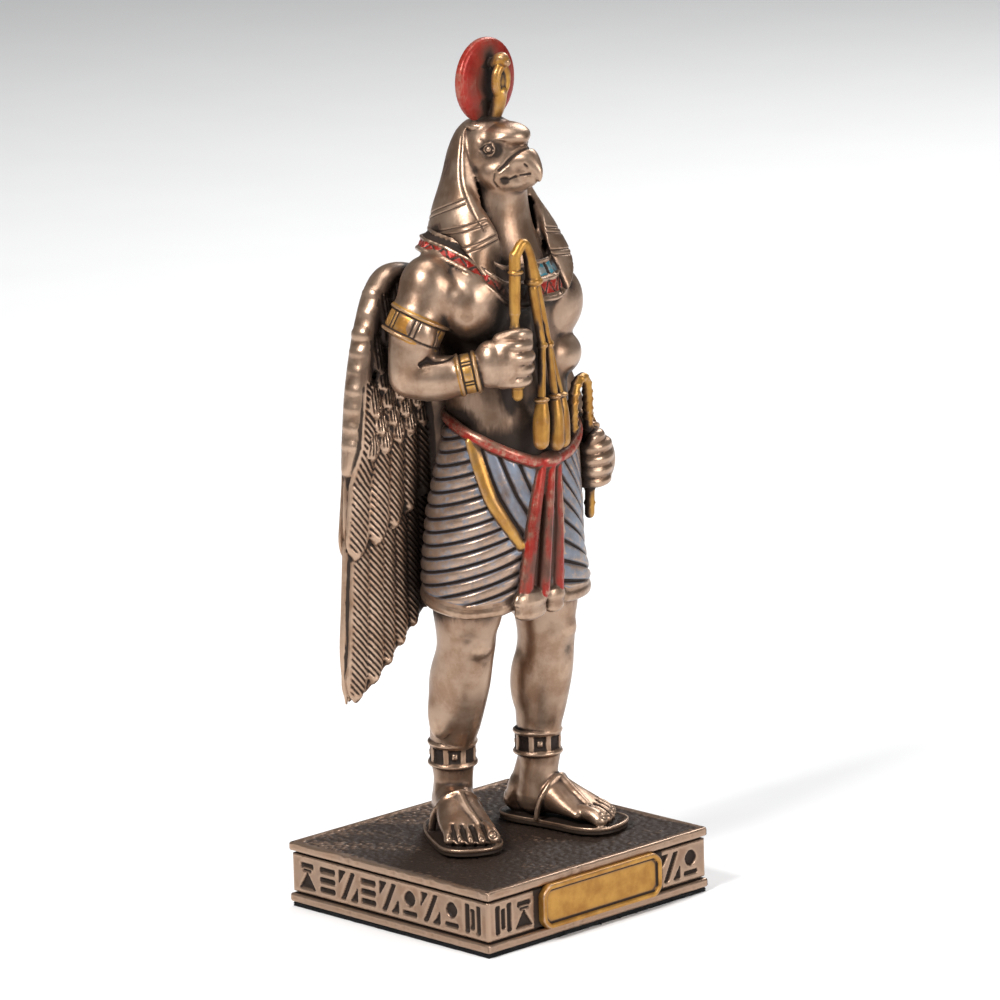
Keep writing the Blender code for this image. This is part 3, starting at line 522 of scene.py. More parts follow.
def carve_head(cast):
    """Eyes with their lids and dark hollows, the brow's painted shade, the edge of the beak, the mouth and
    the nostrils.
    """
    for side in (1, -1):
        turn = (lambda path: path) if side == 1 else flip
        eye = (-3.05 * side, -2.75, 72.35)
        tangent = (-0.55 * side, 0.83, 0.0)
        cast.press(eye, 1.6, 0.26, 0.8)
        cast.press((-2.6 * side, -3.3, 72.2), 0.95, 0.1, 1.1)
        cast.press(eye, 0.75, -0.3)
        ball_away = np.linalg.norm(cast.spots - np.array(eye), axis=1)
        cast.ink *= np.clip((ball_away - 0.6) / 0.25, 0.1, 1)
        lids = [turn([(-2.9, -3.6, 72.15), (-3.05, -3.05, middle), (-3.25, -2.2, middle),
                      (-3.4, -1.65, 72.3)]) for middle in (73.0, 71.72)]
        for lid in lids:
            cast.groove(lid, 0.13, 0.16, 0.95)
        cast.ridge([(x, y, z + 0.28) for x, y, z in lids[0]], 0.12, 0.12)
        cast.ridge([(x, y, z - 0.26) for x, y, z in lids[1]], 0.1, 0.1)
        cast.groove(circle(eye, tangent, (0, 0, 1), 0.36, 0.34, 12), 0.11, 0.09, 0.85)
        # A soft dark line under the brow ridge: painted shade
        cast.groove(turn([(-3.3, -1.6, 73.4), (-2.9, -3.1, 73.2), (-2.1, -4.1, 72.85)]),
                    0.2, 0.08, 0.4)
        cast.groove(turn([(0, -5.45, 72.3), (-0.8, -5.1, 72.1), (-1.6, -4.6, 71.6),
                          (-2.0, -4.1, 70.8), (-2.5, -3.6, 70.2)]), 0.2, 0.22, 0.95)
        cast.groove(turn([(-0.75, -6.2, 69.8), (-1.5, -5.4, 69.65), (-2.1, -4.7, 69.1),
                          (-2.65, -3.95, 69.2)]), 0.15, 0.14, 1.0, 0.7)
        cast.press((-2.15 * side, -4.1, 69.1), 0.5, 0.2, 1.1)
        cast.groove(turn([(-3.05, -3.4, 69.9), (-3.1, -3.2, 69.0), (-2.7, -3.4, 68.3)]),
                    0.15, 0.12, 0.55)
        cast.groove(turn([(-0.9, -6.0, 70.6), (-1.15, -5.85, 70.8)]), 0.14, 0.14, 0.8)


# The headcloth: height, half width, half depth, centre and the angle where its front edge lies
HOOD_ROWS = [(55.4, 7.8, 8.4, -0.3, 40), (57.0, 7.6, 8.0, -0.3, 40), (58.8, 7.3, 7.2, -0.2, 37.7),
             (60.4, 7.1, 6.4, -0.1, 36.1), (62.4, 6.9, 5.95, 0.0, 33.5),
             (63.6, 6.75, 5.75, 0.1, 34.0), (64.6, 6.5, 5.5, 0.2, 38.0),
             (65.6, 6.15, 5.2, 0.3, 45.0), (66.6, 5.75, 4.9, 0.35, 53.0), (67.4, 5.4, 4.65, 0.35, 60.0),
             (68.4, 5.0, 4.35, 0.35, 68.0), (69.3, 4.65, 4.15, 0.35, 74.5), (70.3, 4.3, 3.95, 0.35, 79.0),
             (71.4, 3.9, 3.7, 0.4, 82), (72.6, 3.35, 3.25, 0.45, 86), (73.6, 2.75, 2.7, 0.5, 93),
             (74.2, 2.0, 2.1, 0.6, 100), (74.6, 1.3, 1.5, 0.7, 108)]
# The height of its lower edge by angle, and the height of its top
HOOD_FOOT = [(0, 58.1), (40, 58.3), (50, 59.7), (60, 61.8), (74, 63.3), (86, 63.8), (100, 63.8),
             (137, 63.1), (180, 62.4)]
HOOD_TOP = 74.6
# Its pairs of stripes on each flank: the angle and height where they start and how they fall
HOOD_STRIPES = {-1: ((73, 67.4, 0.034), (49, 65.45, 0.026), (33, 64.1, 0.033)),
                1: ((73, 67.4, 0.034), (34, 63.5, 0.03), (35, 61.1, 0.02))}


def hood_spot(around, height, inset=0.0):
    """A point of the headcloth: around runs from the near front edge, -1, to the far one, 1."""
    half_width, half_depth, centre, opening = between(HOOD_ROWS, height)[1:]
    turn = opening + (180 - opening) * (1 - abs(around))
    low = min(1.0, max(0.0, (66.5 - height) / 6.0))
    swell = 1 + 0.3 * low * bell(turn - 60, 17) - 0.1 * low * bell(turn - 34, 9)
    angle = radians(turn)
    flank = -1 if around < 0 else 1
    if flank > 0:
        swell -= 0.02 * low
    return Vector((flank * sin(angle) * (half_width * swell - inset),
                   centre - cos(angle) * (half_depth * swell - inset), height))


def hood_shell():
    """The cloth over the back of the head, whose two lappets lie on the chest."""
    rings = []
    for step in range(97):
        around = -1 + 2 * step / 96
        foot = 60.0
        for _ in range(6):
            opening = between(HOOD_ROWS, foot)[4]
            foot = between(HOOD_FOOT, opening + (180 - opening) * (1 - abs(around)))[1]
            foot -= 1.5 * max(0.0, around) ** 4
        heights = [foot + (HOOD_TOP - foot) * level / 30 for level in range(31)]
        outer = [hood_spot(around, height) for height in heights]
        inner = [hood_spot(around, height, 0.85) for height in reversed(heights)]
        rings.append(outer + inner)
    return skin([list(reversed(ring)) for ring in rings])


def hood_around(turn, height, flank):
    """The share of the way round the headcloth at an angle from the front."""
    opening = between(HOOD_ROWS, height)[4]
    return flank * (1 - max(0.0, min(1.0, (turn - opening) / (180 - opening))))


def carve_hood(cast):
    """Paired stripes that fall to the back, and the hem along the front edge."""
    for flank, stripes in HOOD_STRIPES.items():
        for start, level, slope in stripes:
            for pair in (0.0, -0.55):
                path = []
                for turn in range(start - 4, 176, 4):
                    height = level + pair - slope * (turn - start)
                    if level < 63 and turn > 60:
                        break
                    path.append(tuple(hood_spot(hood_around(turn, height, flank), height)))
                cast.groove(path, 0.1, 0.1, 0.6)
        hem = [tuple(hood_spot(flank * 0.925, 64.5 + 0.8 * step)) for step in range(12)]
        cast.groove(hem, 0.11, 0.1, 0.55)


DISC_RADIUS, DISC_HALF, DISC_HEIGHT, DISC_EDGE = 4.35, 0.78, 78.75, 3.6


def crown_shells():
    """The disc on the head, with the rearing cobra before it."""
    rings = []
    for step in range(13):
        lean = -1 + step / 6
        reach = DISC_RADIUS * max(0.12, 1 - abs(lean) ** DISC_EDGE) ** (1 / DISC_EDGE)
        angles = [2 * pi * side / 48 for side in range(48)]
        rings.append([(reach * cos(angle), -DISC_HALF * lean, DISC_HEIGHT + reach * sin(angle))
                      for angle in angles])
    cobra = [rod([(0, -1.2, 75.0, 0.6), (0, -1.7, 76.3, 0.72), (0, -2.0, 77.6, 0.72)], sides=14)]
    for side in (-1, 1):
        cobra.append(rod([(0, -1.9, 77.0, 0.45), (side * 0.75, -2.05, 78.3, 0.5),
                          (side * 0.7, -2.15, 79.6, 0.5), (0, -2.2, 80.5, 0.5)], sides=14))
    cobra.append(ball((0, -1.95, 78.7), (1.0, 0.45, 1.7)))
    cobra.append(rod([(0, -1.5, 80.6, 0.7), (0, -2.3, 81.1, 0.72), (0, -2.85, 80.8, 0.5)], sides=14))
    seat = ball((0, 0.0, 74.3), (2.4, 2.0, 0.8))
    return skin(rings), cobra, seat


# Body: trunk, arms, bands, hands and the broad collar

def body_shells():
    """The trunk with its muscles, the shoulders and both arms down to the hands."""
    trunk = column([(36.0, 0.1, -1.3, 8.0, 5.9), (41.0, 0.1, -1.6, 7.5, 5.6),
                    (45.0, 0.2, -1.6, 7.1, 5.3), (49.0, 0.5, -1.2, 7.6, 4.9),
                    (53.0, 0.7, -0.9, 8.4, 4.8), (56.5, 0.2, -0.7, 9.6, 5.1),
                    (59.5, 0, -0.4, 9.9, 4.8), (61.6, 0, 0.1, 7.9, 4.0),
                    (63.4, 0, 0.0, 5.0, 3.5), (66.0, 0, -0.5, 3.9, 3.4)], power=2.2)
    shells = [trunk, ball((-4.9, -2.5, 57.1), (5.5, 3.4, 4.3), (0, 10, 10)),
              ball((4.75, -2.95, 55.2), (4.8, 3.15, 4.4), (0, -8, -10)),
              ball((5.2, -3.6, 50.0), (3.5, 2.8, 2.6))]
    shells.append(ball((0.1, -3.2, 44.2), (5.2, 4.3, 4.2)))
    for height in (47.8, 50.6):
        shells += both(ball((-1.75, -4.6, height), (1.75, 1.5, 1.5)))
    for side in (-1, 1):
        shells.append(rod([(side * 2.0, 0.6, 64.2, 1.6), (side * 5.5, 0.4, 62.0, 1.8),
                           (side * 8.6, 0.3, 60.2, 2.3)], sides=20))
    shells += [ball((-9.4, 0.1, 58.3), (3.2, 3.2, 4.1), (0, -12, 0)),
               ball((8.8, 0.3, 57.2), (3.0, 3.1, 4.0), (0, 12, 0))]
    shells.append(ball((-7.7, -1.6, 58.0), (3.1, 2.9, 3.3)))
    shells.append(rod([(-9.9, 0.2, 58.6, 2.8), (-11.5, 0.4, 54.6, 2.65),
                       (-12.15, 0.6, 50.6, 2.35)], sides=24))
    shells.append(ball((-12.1, -0.5, 54.6), (1.9, 2.1, 2.6), (0, -10, 0)))
    shells.append(rod([(-12.1, 0.6, 50.3, 2.35), (-10.6, -1.8, 50.1, 2.4), (-8.6, -4.6, 50.5, 1.7),
                       (-7.2, -6.0, 51.2, 1.45)], sides=24))
    shells.append(rod([(9.3, 0.3, 57.4, 2.6), (10.2, 1.0, 53.4, 2.3), (10.5, 1.7, 48.2, 2.0)]))
    shells.append(rod([(10.5, 1.7, 48.3, 2.0), (10.1, -1.2, 44.0, 1.8), (9.7, -4.0, 40.4, 1.45),
                       (9.8, -5.0, 38.9, 1.4)]))
    return shells


# Bands: the middles of a stretch of the limb, how wide the band is and its radius
BANDS = {
    "near arm": ((-10.4, 0.1, 57.0), (-12.0, 1.2, 53.2), 2.9, 3.0),
    "far arm": ((9.8, 0.5, 56.6), (10.2, 1.0, 53.6), 2.5, 2.65),
    "near wrist": ((-9.7, -3.3, 50.3), (-8.1, -5.1, 50.75), 2.1, 2.1),
    "far wrist": ((9.9, -2.6, 42.2), (9.7, -3.85, 40.6), 1.9, 1.85),
}
ANKLETS = {
    "near": ((-3.35, 4.0, 10.3), (-3.25, 4.15, 7.0), 2.7, 2.45),
    "far": ((5.25, -0.3, 10.2), (5.15, -0.35, 7.0), 2.7, 2.45),
}


def band_shells(start, end, width, bulge):
    """A flat band round an arm or a leg, with a raised rim along each edge."""
    start, end = Vector(start), Vector(end)
    aim = (end - start).normalized()
    middle = 0.5 * (start + end)
    half = 0.5 * width
    rings = []
    side_way = aim.cross(Vector((0.3, 1, 0.2))).normalized()
    front_way = side_way.cross(aim).normalized()
    for along, reach in ((-half, 0.5), (-half, 1.0), (-half + 0.12, 1.07), (-half + 0.34, 1.07),
                         (-half + 0.46, 1.0), (half - 0.46, 1.0), (half - 0.34, 1.07),
                         (half - 0.12, 1.07), (half, 1.0), (half, 0.5)):
        rings.append([middle + aim * along + (side_way * cos(2 * pi * side / 40)
                                              + front_way * sin(2 * pi * side / 40))
                      * bulge * reach for side in range(40)])
    return [skin([list(reversed(ring)) for ring in rings])]


def carve_band(cast, start, end, width, bulge, cells, depth=0.14, line=0.12):
    """Cells between cross lines round a band."""
    start, end = Vector(start), Vector(end)
    aim = (end - start).normalized()
    middle = 0.5 * (start + end)
    half = 0.5 * width - 0.5
    side_way = aim.cross(Vector((0.3, 1, 0.2))).normalized()
    front_way = side_way.cross(aim).normalized()

    def spot(angle, along):
        out = side_way * cos(angle) + front_way * sin(angle)
        return tuple(middle + aim * along + out * bulge)

    for along in (-half, half):
        cast.groove([spot(2 * pi * step / 40, along) for step in range(41)], line, depth, 0.9)
    for cell in range(cells):
        angle = 2 * pi * (cell + 0.5) / cells
        for shift in (-0.09, 0.09):
            cast.groove([spot(angle + shift, -half), spot(angle + shift, half)], line, depth, 0.85)


def carve_windows(cast, start, end, width, bulge, cells):
    """Sunk windows round a band, every other one with a small block left in it."""
    start, end = np.array(start), np.array(end)
    aim = (end - start) / np.linalg.norm(end - start)
    away = cast.spots - 0.5 * (start + end)
    along = away @ aim
    out = np.linalg.norm(away - along[:, None] * aim, axis=1)
    cell = np.degrees(np.arctan2(away[:, 0], -away[:, 1])) * cells / 360
    across = 2 * np.abs(cell - np.round(cell))
    up = np.abs(along) / (0.5 * width - 0.6)
    sunk = ramp(0.72 - across, 0.09) * ramp(1 - up, 0.12)
    block = ramp(0.34 - across, 0.09) * ramp(0.45 - up, 0.12)
    sunk *= 1 - block * (np.round(cell) % 2)
    sunk *= (out > 0.85 * bulge) & (out < 1.2 * bulge)
    cast.mark(depth=sunk * 0.25, ink=sunk * 0.95)


def fist_shells(grip, side, height, reach):
    """A closed hand round an upright shaft: its back, four fingers and a thumb."""
    x, y, z = grip
    shells = [ball((x + side * 1.5, y + 0.3, z + 0.1), (1.9, 2.0, 0.5 * height + 0.35)),
              ball((x + side * 2.6, y + 1.2, z), (1.6, 1.8, 0.5 * height))]
    for finger in range(4):
        level = z + (1.5 - finger) * height / 4
        thick = (0.66, 0.72, 0.7, 0.6)[finger]
        back = 0.12 * abs(finger - 1)
        shells.append(rod([(x + side * 2.3, y + 0.1 + back, level, thick),
                           (x + side * 1.5, y - reach + 0.1 + back, level, thick * 1.05),
                           (x - side * 0.1, y - reach - 0.15 + back, level - 0.1, thick),
                           (x - side * 1.25, y - reach + 0.6 + back, level - 0.15, thick * 0.95),
                           (x - side * 0.9, y + 0.6, level - 0.15, thick * 0.9)], sides=16))
    shells.append(rod([(x + side * 1.7, y + 0.6, z + 0.5 * height - 0.1, 0.8),
                       (x + side * 0.4, y - 0.9, z + 0.5 * height + 0.5, 0.72),
                       (x - side * 0.9, y - 1.0, z + 0.5 * height + 0.25, 0.62)], sides=16))
    return shells


# The collar: the angle from the front, its outer edge's place and its inner edge's
COLLAR_ROWS = [(0, 0, -6.5, 56.6, 0, -5.5, 60.4), (20, 2.6, -6.5, 56.5, 2.2, -5.4, 60.4),
               (38, 4.9, -6.3, 57.1, 4.1, -5.1, 60.6), (58, 6.9, -5.4, 59.1, 5.6, -4.3, 61.7),
               (72, 7.9, -3.7, 60.7, 6.3, -3.0, 62.6), (88, 8.6, -1.4, 61.8, 6.6, -1.0, 63.4),
               (112, 8.7, 1.6, 62.5, 6.6, 1.6, 63.9), (145, 6.2, 4.2, 62.0, 4.8, 3.8, 63.9),
               (180, 0, 5.3, 61.8, 0, 4.7, 63.8)]


def collar_spot(turn, across, out=0.0):
    """A point of the collar: across runs from its outer edge, 0, to its inner one, 1."""
    row = between(COLLAR_ROWS, abs(turn))
    flank = -1 if turn < 0 else 1
    low = Vector((flank * row[1], row[2], row[3]))
    high = Vector((flank * row[4], row[5], row[6]))
    aside, ahead = flank * sin(radians(abs(turn))), -cos(radians(turn))
    away = Vector((aside * 0.8, ahead * 0.8, 0.6)).normalized()
    crown = 0.3 * sin(pi * across)
    under = 0.75 * min(1.0, max(0.0, (turn - 24) / 8)) * min(1.0, max(0.0, (84 - turn) / 14))
    return low.lerp(high, across) + away * (out + crown - under)


def collar_shells():
    """The collar's sheet and the three cords that frame its rows."""
    rings = []
    for step in range(121):
        turn = -180 + 3 * step
        ring = [collar_spot(turn, share / 8, 0.1) for share in range(9)]
        ring += [collar_spot(turn, share / 8, -0.9) for share in range(8, -1, -1)]
        rings.append(ring)
    shells = [skin([list(reversed(ring)) for ring in rings])]
    for across, thick in ((0.0, 0.27), (0.5, 0.17), (1.0, 0.2)):
        shells.append(rod([(*collar_spot(-180 + 6 * step, across, 0.15), thick)
                           for step in range(61)], sides=10, steps=1))
    return shells


def collar_places(cast):
    """Where each spot near the collar lies: its angle from the front and its share across."""
    grid = [(turn, share / 12) for turn in range(-180, 181, 2) for share in range(13)]
    grid_turns, grid_shares = zip(*grid)
    tree = tree_of([collar_spot(turn, across, 0.25) for turn, across in grid])
    turns = np.zeros(len(cast.spots))
    shares = np.zeros(len(cast.spots))
    for index, spot in enumerate(cast.spots):
        close = tree.find_n(spot, 3)
        turns[index] = weighed(close, grid_turns, 0.02)
        shares[index] = weighed(close, grid_shares, 0.02)
    return turns, shares


# Flail and crook

# The flail's strands: where each is hung, jointed, collared and ended
FLAIL_STRANDS = (((-3.0, -8.0, 58.6), (-2.2, -8.4, 52.7), (-2.75, -8.6, 47.2), (-3.0, -8.6, 42.9)),
                 ((-2.4, -8.0, 58.6), (-0.85, -8.1, 52.5), (-0.35, -8.3, 47.1), (-0.45, -8.5, 42.3)),
                 ((-2.2, -7.6, 58.4), (0.1, -7.3, 52.4), (1.3, -7.7, 46.9), (1.25, -7.9, 42.2)))
CROOK_ROUTE = [(8.3, -5.5, 32.8), (8.4, -5.6, 38.0), (8.3, -5.6, 43.0), (8.2, -5.7, 45.4),
               (7.7, -5.9, 46.9), (6.7, -6.1, 47.4), (5.5, -6.3, 46.6), (4.9, -6.4, 44.6),
               (4.8, -6.4, 41.9), (4.8, -6.4, 40.4)]
CROOK_LAY = 0.8         # the way along the crook from one turn of its rope to the next


def flail_shells():
    """The flail in the right hand: a rod, a bent joint and three beaded strands."""
    shells = [rod([(-5.05, -7.4, 47.9, 0.58), (-5.35, -7.5, 54.8, 0.6), (-5.15, -7.6, 62.3, 0.6)]),
              ball((-5.1, -7.6, 60.6), (0.82, 0.82, 0.3)), ball((-5.05, -7.4, 48.9), (0.85, 0.85, 0.35)),
              rod([(-5.05, -7.4, 47.6, 0.75), (-5.05, -7.4, 48.3, 0.75)], ends=2)]
    shells.append(rod([(-5.1, -7.7, 62.4, 0.55), (-4.3, -7.9, 63.4, 0.56), (-3.5, -7.9, 62.5, 0.6),
                       (-2.9, -7.9, 60.4, 0.72), (-2.7, -7.9, 59.4, 0.82)]))
    shells.append(ball((-2.68, -7.9, 59.3), (1.05, 1.0, 0.5)))
    for top, middle, low, foot in FLAIL_STRANDS:
        shells.append(rod([(*top, 0.52), (*middle, 0.42)]))
        shells.append(ball(middle, (0.62, 0.62, 0.38)))
        shells.append(rod([(*middle, 0.4), (*low, 0.42)]))
        shells.append(ball(low, (0.85, 0.82, 0.28)))
        belly = Vector(low).lerp(Vector(foot), 0.5)
        shells.append(rod([(low[0], low[1], low[2] - 0.5, 0.66), (*belly, 0.88), (*foot, 0.84)]))
    return shells


def crook_shells():
    """The crook in the left hand, its shaft and hook twisted like rope."""
    shells = [rod([(*spot, 0.52) for spot in CROOK_ROUTE], sides=16)]
    path = [Vector(spot) for spot in blend(CROOK_ROUTE, 7)]
    walked = 0.0
    for before, spot, after in zip(path, path[1:], path[2:]):
        walked += (spot - before).length
        if walked >= CROOK_LAY:
            walked = 0.0
            aim = (after - before).normalized()
            side = aim.cross(Vector((0.6, -0.7, 0.2))).normalized()
            high = side.cross(aim)
            lean = aim * 0.32
            first, last = spot - side * 0.28 - lean, spot + side * 0.28 + lean
            for flank in (-1, 1):
                middle = spot + high * flank * 0.3
                shells.append(rod([(*first, 0.3), (*middle, 0.36), (*last, 0.3)], sides=10, steps=3))
    return shells


# Kilt, belt and sash

# The kilt: height, centre x and y, half width, half depth. Lines give a height by angle.
KILT_ROWS = [(24.9, 0.2, -0.4, 9.95, 6.9), (26.4, 0.1, -0.5, 9.9, 6.9),
             (30.0, -0.3, -0.6, 9.3, 6.8), (35.0, -0.3, -0.9, 8.8, 6.6),
             (39.0, -0.2, -1.3, 8.2, 6.2), (42.5, 0.0, -1.6, 7.6, 5.8),
             (45.0, 0.1, -1.7, 7.1, 5.4)]
BAND_ROUTE = [(32.2, -28.0), (35.2, -41.4), (37.3, -51.2), (40.4, -62.7), (43.2, -74.0)]
BAND_WIDTHS = (0.5, 0.62, 0.7, 0.76, 0.8)
BELT_LINE = [(0, 40.2), (20, 40.7), (31, 41.3), (48, 42.3), (66, 43.3), (91, 44.2), (112, 44.8),
             (180, 45.2)]
PLEAT_PITCH = 1.37
FAR_PITCH = 1.8
HEM = 25.2
HEM_LINE = [(-180, 1.3), (-139, 1.5), (-100, 0.7), (-65, 0.2), (-42, 0.5), (-26, 1.3), (-12, 1.7),
            (0, 1.0), (14, 0.2), (40, 0.0), (100, 0.4), (180, 1.3)]


def kilt_spot(turn, height, out=0.0):
    """A point of the kilt's plain surface, or so far out from it."""
    x, y, half_width, half_depth = between(KILT_ROWS, height)[1:]
    c, s = sin(radians(turn)), -cos(radians(turn))
    reach = (abs(c) ** 2.3 + abs(s) ** 2.3) ** (-1 / 2.3)
    swell = 0.28 * cos(2 * radians(min(abs(turn), 138) - 48))
    return Vector((x + (half_width * reach + out + swell) * c,
                   y + (half_depth * reach + out + swell) * s, height))


def kilt_shells():
    """The skirt with its hem, and the gold band across it."""
    rings = []
    for level in range(37):
        ring = []
        for turn in range(-180, 180, 3):
            foot = KILT_ROWS[0][0] + between(HEM_LINE, turn)[1]
            top = between(BELT_LINE, abs(turn))[1]
            ring.append(kilt_spot(turn, foot + (top - foot) * level / 36))
        rings.append(ring)
    skirt = skin(rings)
    hem = rod([(*kilt_spot(turn, HEM + between(HEM_LINE, turn)[1], -0.25), 0.42, 0.62)
               for turn in range(-180, 181, 6)], sides=12, steps=1)
    stripe = [(*kilt_spot(turn, height, 0.08), width, 0.4)
              for (height, turn), width in zip(BAND_ROUTE, BAND_WIDTHS)]
    band = rod(stripe, up=(-0.5, -0.9, 0.0), sides=16, steps=4)
    return [skirt, hem], [band]


def far_front(turn):
    """Whether a turn lies on the far half of the kilt's front, whose pleats fall outwards."""
    return (turn > 6) & (turn <= 95)


def pleat_field(turn, height):
    """Which pleat a spot of the kilt lies on: whole numbers are its grooves."""
    fall = 3.6 * ((140 - np.clip(np.abs(turn), 25, 140)) / 115) ** 1.7
    near = (height - fall) / PLEAT_PITCH
    edge = np.interp(height, *zip(*BAND_ROUTE))
    inner = (turn - edge - 7.0) * 0.125 / 1.6
    share = np.clip((turn - 10) / 35, 0, 1.3)
    far = ((height - 8.42 * share) / (1 - 0.36 * share) - 29.5) / 2.25
    field = np.where(far_front(turn), far, near)
    return np.where((turn <= 6) & (turn > edge) & (height > 31.8), inner, field)


def carve_pleats(cast):
    """Rounded pleats with dark grooves between them, on the slate cloth alone."""
    height = cast.spots[:, 2]
    heights, *columns = zip(*KILT_ROWS)
    x, y, wide, deep = (np.interp(height, heights, values) for values in columns)
    turn = np.degrees(np.arctan2((cast.spots[:, 0] - x) / wide, -(cast.spots[:, 1] - y) / deep))
    field = pleat_field(turn, height)
    pitch = np.where(far_front(turn), FAR_PITCH, PLEAT_PITCH)
    away = np.abs(field - np.round(field)) * pitch
    phase = field - np.floor(field)
    cut = bell(away, 0.17)
    hem = np.interp(turn, *zip(*HEM_LINE))
    cloth = np.clip(cast.masks["slate"] * 3 - 1.6, 0, 1) * ramp(height - 26.0 - hem, 0.4)
    cast.masks["slate"] *= ramp(height - 25.9 - hem, 0.5)
    cloth *= np.abs(cast.normals[:, 2]) < 0.75
    roll = 0.16 * (1 - (2 * phase - 1) ** 2)
    cast.mark(depth=cut * 0.3 * cloth, rise=roll * cloth, ink=cut * cloth)


def belt_shells():
    """The rolled belt along the kilt's upper edge."""
    route = [(*kilt_spot(turn, between(BELT_LINE, abs(turn))[1], 0.12), 0.52, 0.62)
             for turn in range(-180, 181, 5)]
    return [rod(route, sides=14, steps=1, ends=1)]


def sash_shells():
    """The sash that hangs from the belt: three folds with tasselled ends."""
    cloth = [ball((-0.5, -7.5, 40.4), (1.9, 0.95, 0.9))]
    folds = (((-1.7, -7.5, 40.2), (-3.3, -7.7, 34.8), (-4.75, -7.45, 27.0), 0.6, 1.0),
             ((-0.55, -7.75, 40.2), (-1.5, -7.95, 34.5), (-2.35, -7.85, 27.0), 0.55, 0.78),
             ((0.8, -7.4, 40.0), (0.75, -7.5, 33.8), (0.5, -7.35, 26.6), 0.48, 0.8))
    for top, middle, foot, narrow, wide in folds:
        cloth.append(rod([(*top, narrow, 0.55), (*middle, 0.5 * (narrow + wide), 0.58),
                          (*foot, wide, 0.6)], up=(0, 1, 0)))
    cloth.append(rod([(-0.3, -6.7, 40.2, 1.5, 0.6), (-1.3, -6.9, 34.0, 2.3, 0.65),
                      (-2.2, -6.75, 26.6, 3.1, 0.7)], up=(0, 1, 0), ends=2))
    ends = [rod([(-3.9, -7.45, 26.9, 2.5, 0.85), (-3.9, -7.45, 26.4, 2.6, 0.95)], up=(0, 1, 0), ends=3),
            rod([(-3.9, -7.4, 26.1, 2.25, 0.75), (-3.95, -7.4, 25.1, 2.45, 0.8)], up=(0, 1, 0), ends=3),
            rod([(0.1, -7.25, 26.5, 1.4, 0.8), (0.1, -7.25, 26.1, 1.5, 0.85)], up=(0, 1, 0), ends=3),
            rod([(0.1, -7.2, 25.9, 1.25, 0.7), (0.1, -7.2, 25.0, 1.4, 0.72)], up=(0, 1, 0), ends=3)]
    return cloth, ends


# Legs, feet and sandals

NEAR_FOOT = {"heel": (-1.2, 7.3), "toe": (-9.5, -4.1), "inner": -1}
FAR_FOOT = {"heel": (4.5, 4.2), "toe": (6.7, -10.2), "inner": 1}
SOLE = 0.8
FOOT_BASE = SOLE - 0.15


NEAR_LEG = ((-4.9, -0.4, 30.0, 4.3), (-5.0, 0.0, 25.5, 3.6, 3.9), (-4.7, 0.7, 20.6, 2.9, 3.1),
            (-4.4, 1.9, 16.8, 3.0, 3.3), (-4.0, 2.9, 13.0, 2.65, 2.9), (-3.5, 3.8, 10.4, 2.3, 2.5),
            (-3.3, 4.1, 7.4, 2.1, 2.3), (-3.2, 4.2, 5.6, 1.95, 2.1), (-3.0, 4.6, 2.8, 2.0, 2.3))
FAR_LEG = ((4.9, -1.6, 30.0, 4.3), (4.9, -1.9, 25.5, 3.6, 3.8), (4.9, -2.1, 20.4, 2.9, 3.1),
           (5.0, -1.5, 16.6, 2.9, 3.2), (5.15, -0.9, 13.0, 2.6, 2.85), (5.25, -0.5, 10.4, 2.25, 2.45),
           (5.2, -0.5, 7.4, 2.1, 2.3), (5.0, -0.5, 5.6, 1.95, 2.1), (4.5, -0.6, 2.8, 2.0, 2.3))


def leg_shells():
    """Both legs from under the kilt to the ankles, with knees, calves, shins and ankle bones."""
    shells = [rod(leg, sides=28, up=(0, 1, 0)) for leg in (NEAR_LEG, FAR_LEG)]
    for x, y in ((-5.2, -1.35), (5.0, -4.05)):
        shells.append(ball((x, y, 21.4), (1.9, 1.5, 2.1)))
        shells.append(ball((x - 0.1, y + 0.7, 23.8), (2.3, 1.4, 2.6)))
    shells += [ball((-3.0, 2.6, 15.6), (1.6, 2.2, 4.2), (10, -6, 0)),
               ball((-5.7, 2.6, 15.4), (1.4, 2.1, 4.8), (10, 8, 0)),
               ball((3.5, -0.7, 15.4), (1.5, 2.2, 4.6), (10, -6, 0)),
               ball((6.4, -0.8, 15.6), (1.5, 2.2, 4.2), (10, 6, 0)),
               rod([(-5.1, -1.0, 18.6, 0.9), (-4.8, 0.5, 13.6, 0.85), (-3.9, 2.2, 9.6, 0.7)]),
               rod([(4.9, -3.9, 18.6, 0.9), (4.9, -2.9, 13.6, 0.85), (4.8, -2.0, 9.6, 0.7)])]
    shells += [ball((-4.75, 4.5, 4.8), (0.6, 0.9, 0.9)), ball((-1.7, 3.8, 5.0), (0.6, 0.9, 0.9)),
               ball((3.4, -0.4, 5.0), (0.5, 0.9, 0.9)), ball((6.5, -0.4, 4.8), (0.6, 0.9, 0.9))]
    return shells


# A side strap from the crest of the foot down to the sole, and the toes' gaps
STRAP_ROUTE = ((0.47, 0.105, 3.75), (0.42, 0.172, 2.0), (0.40, 0.19, 0.3))
TOE_GAPS = ((0.138, 0.052, 0.93), (0.052, -0.024, 0.93), (-0.024, -0.096, 0.91), (-0.096, -0.162, 0.88))


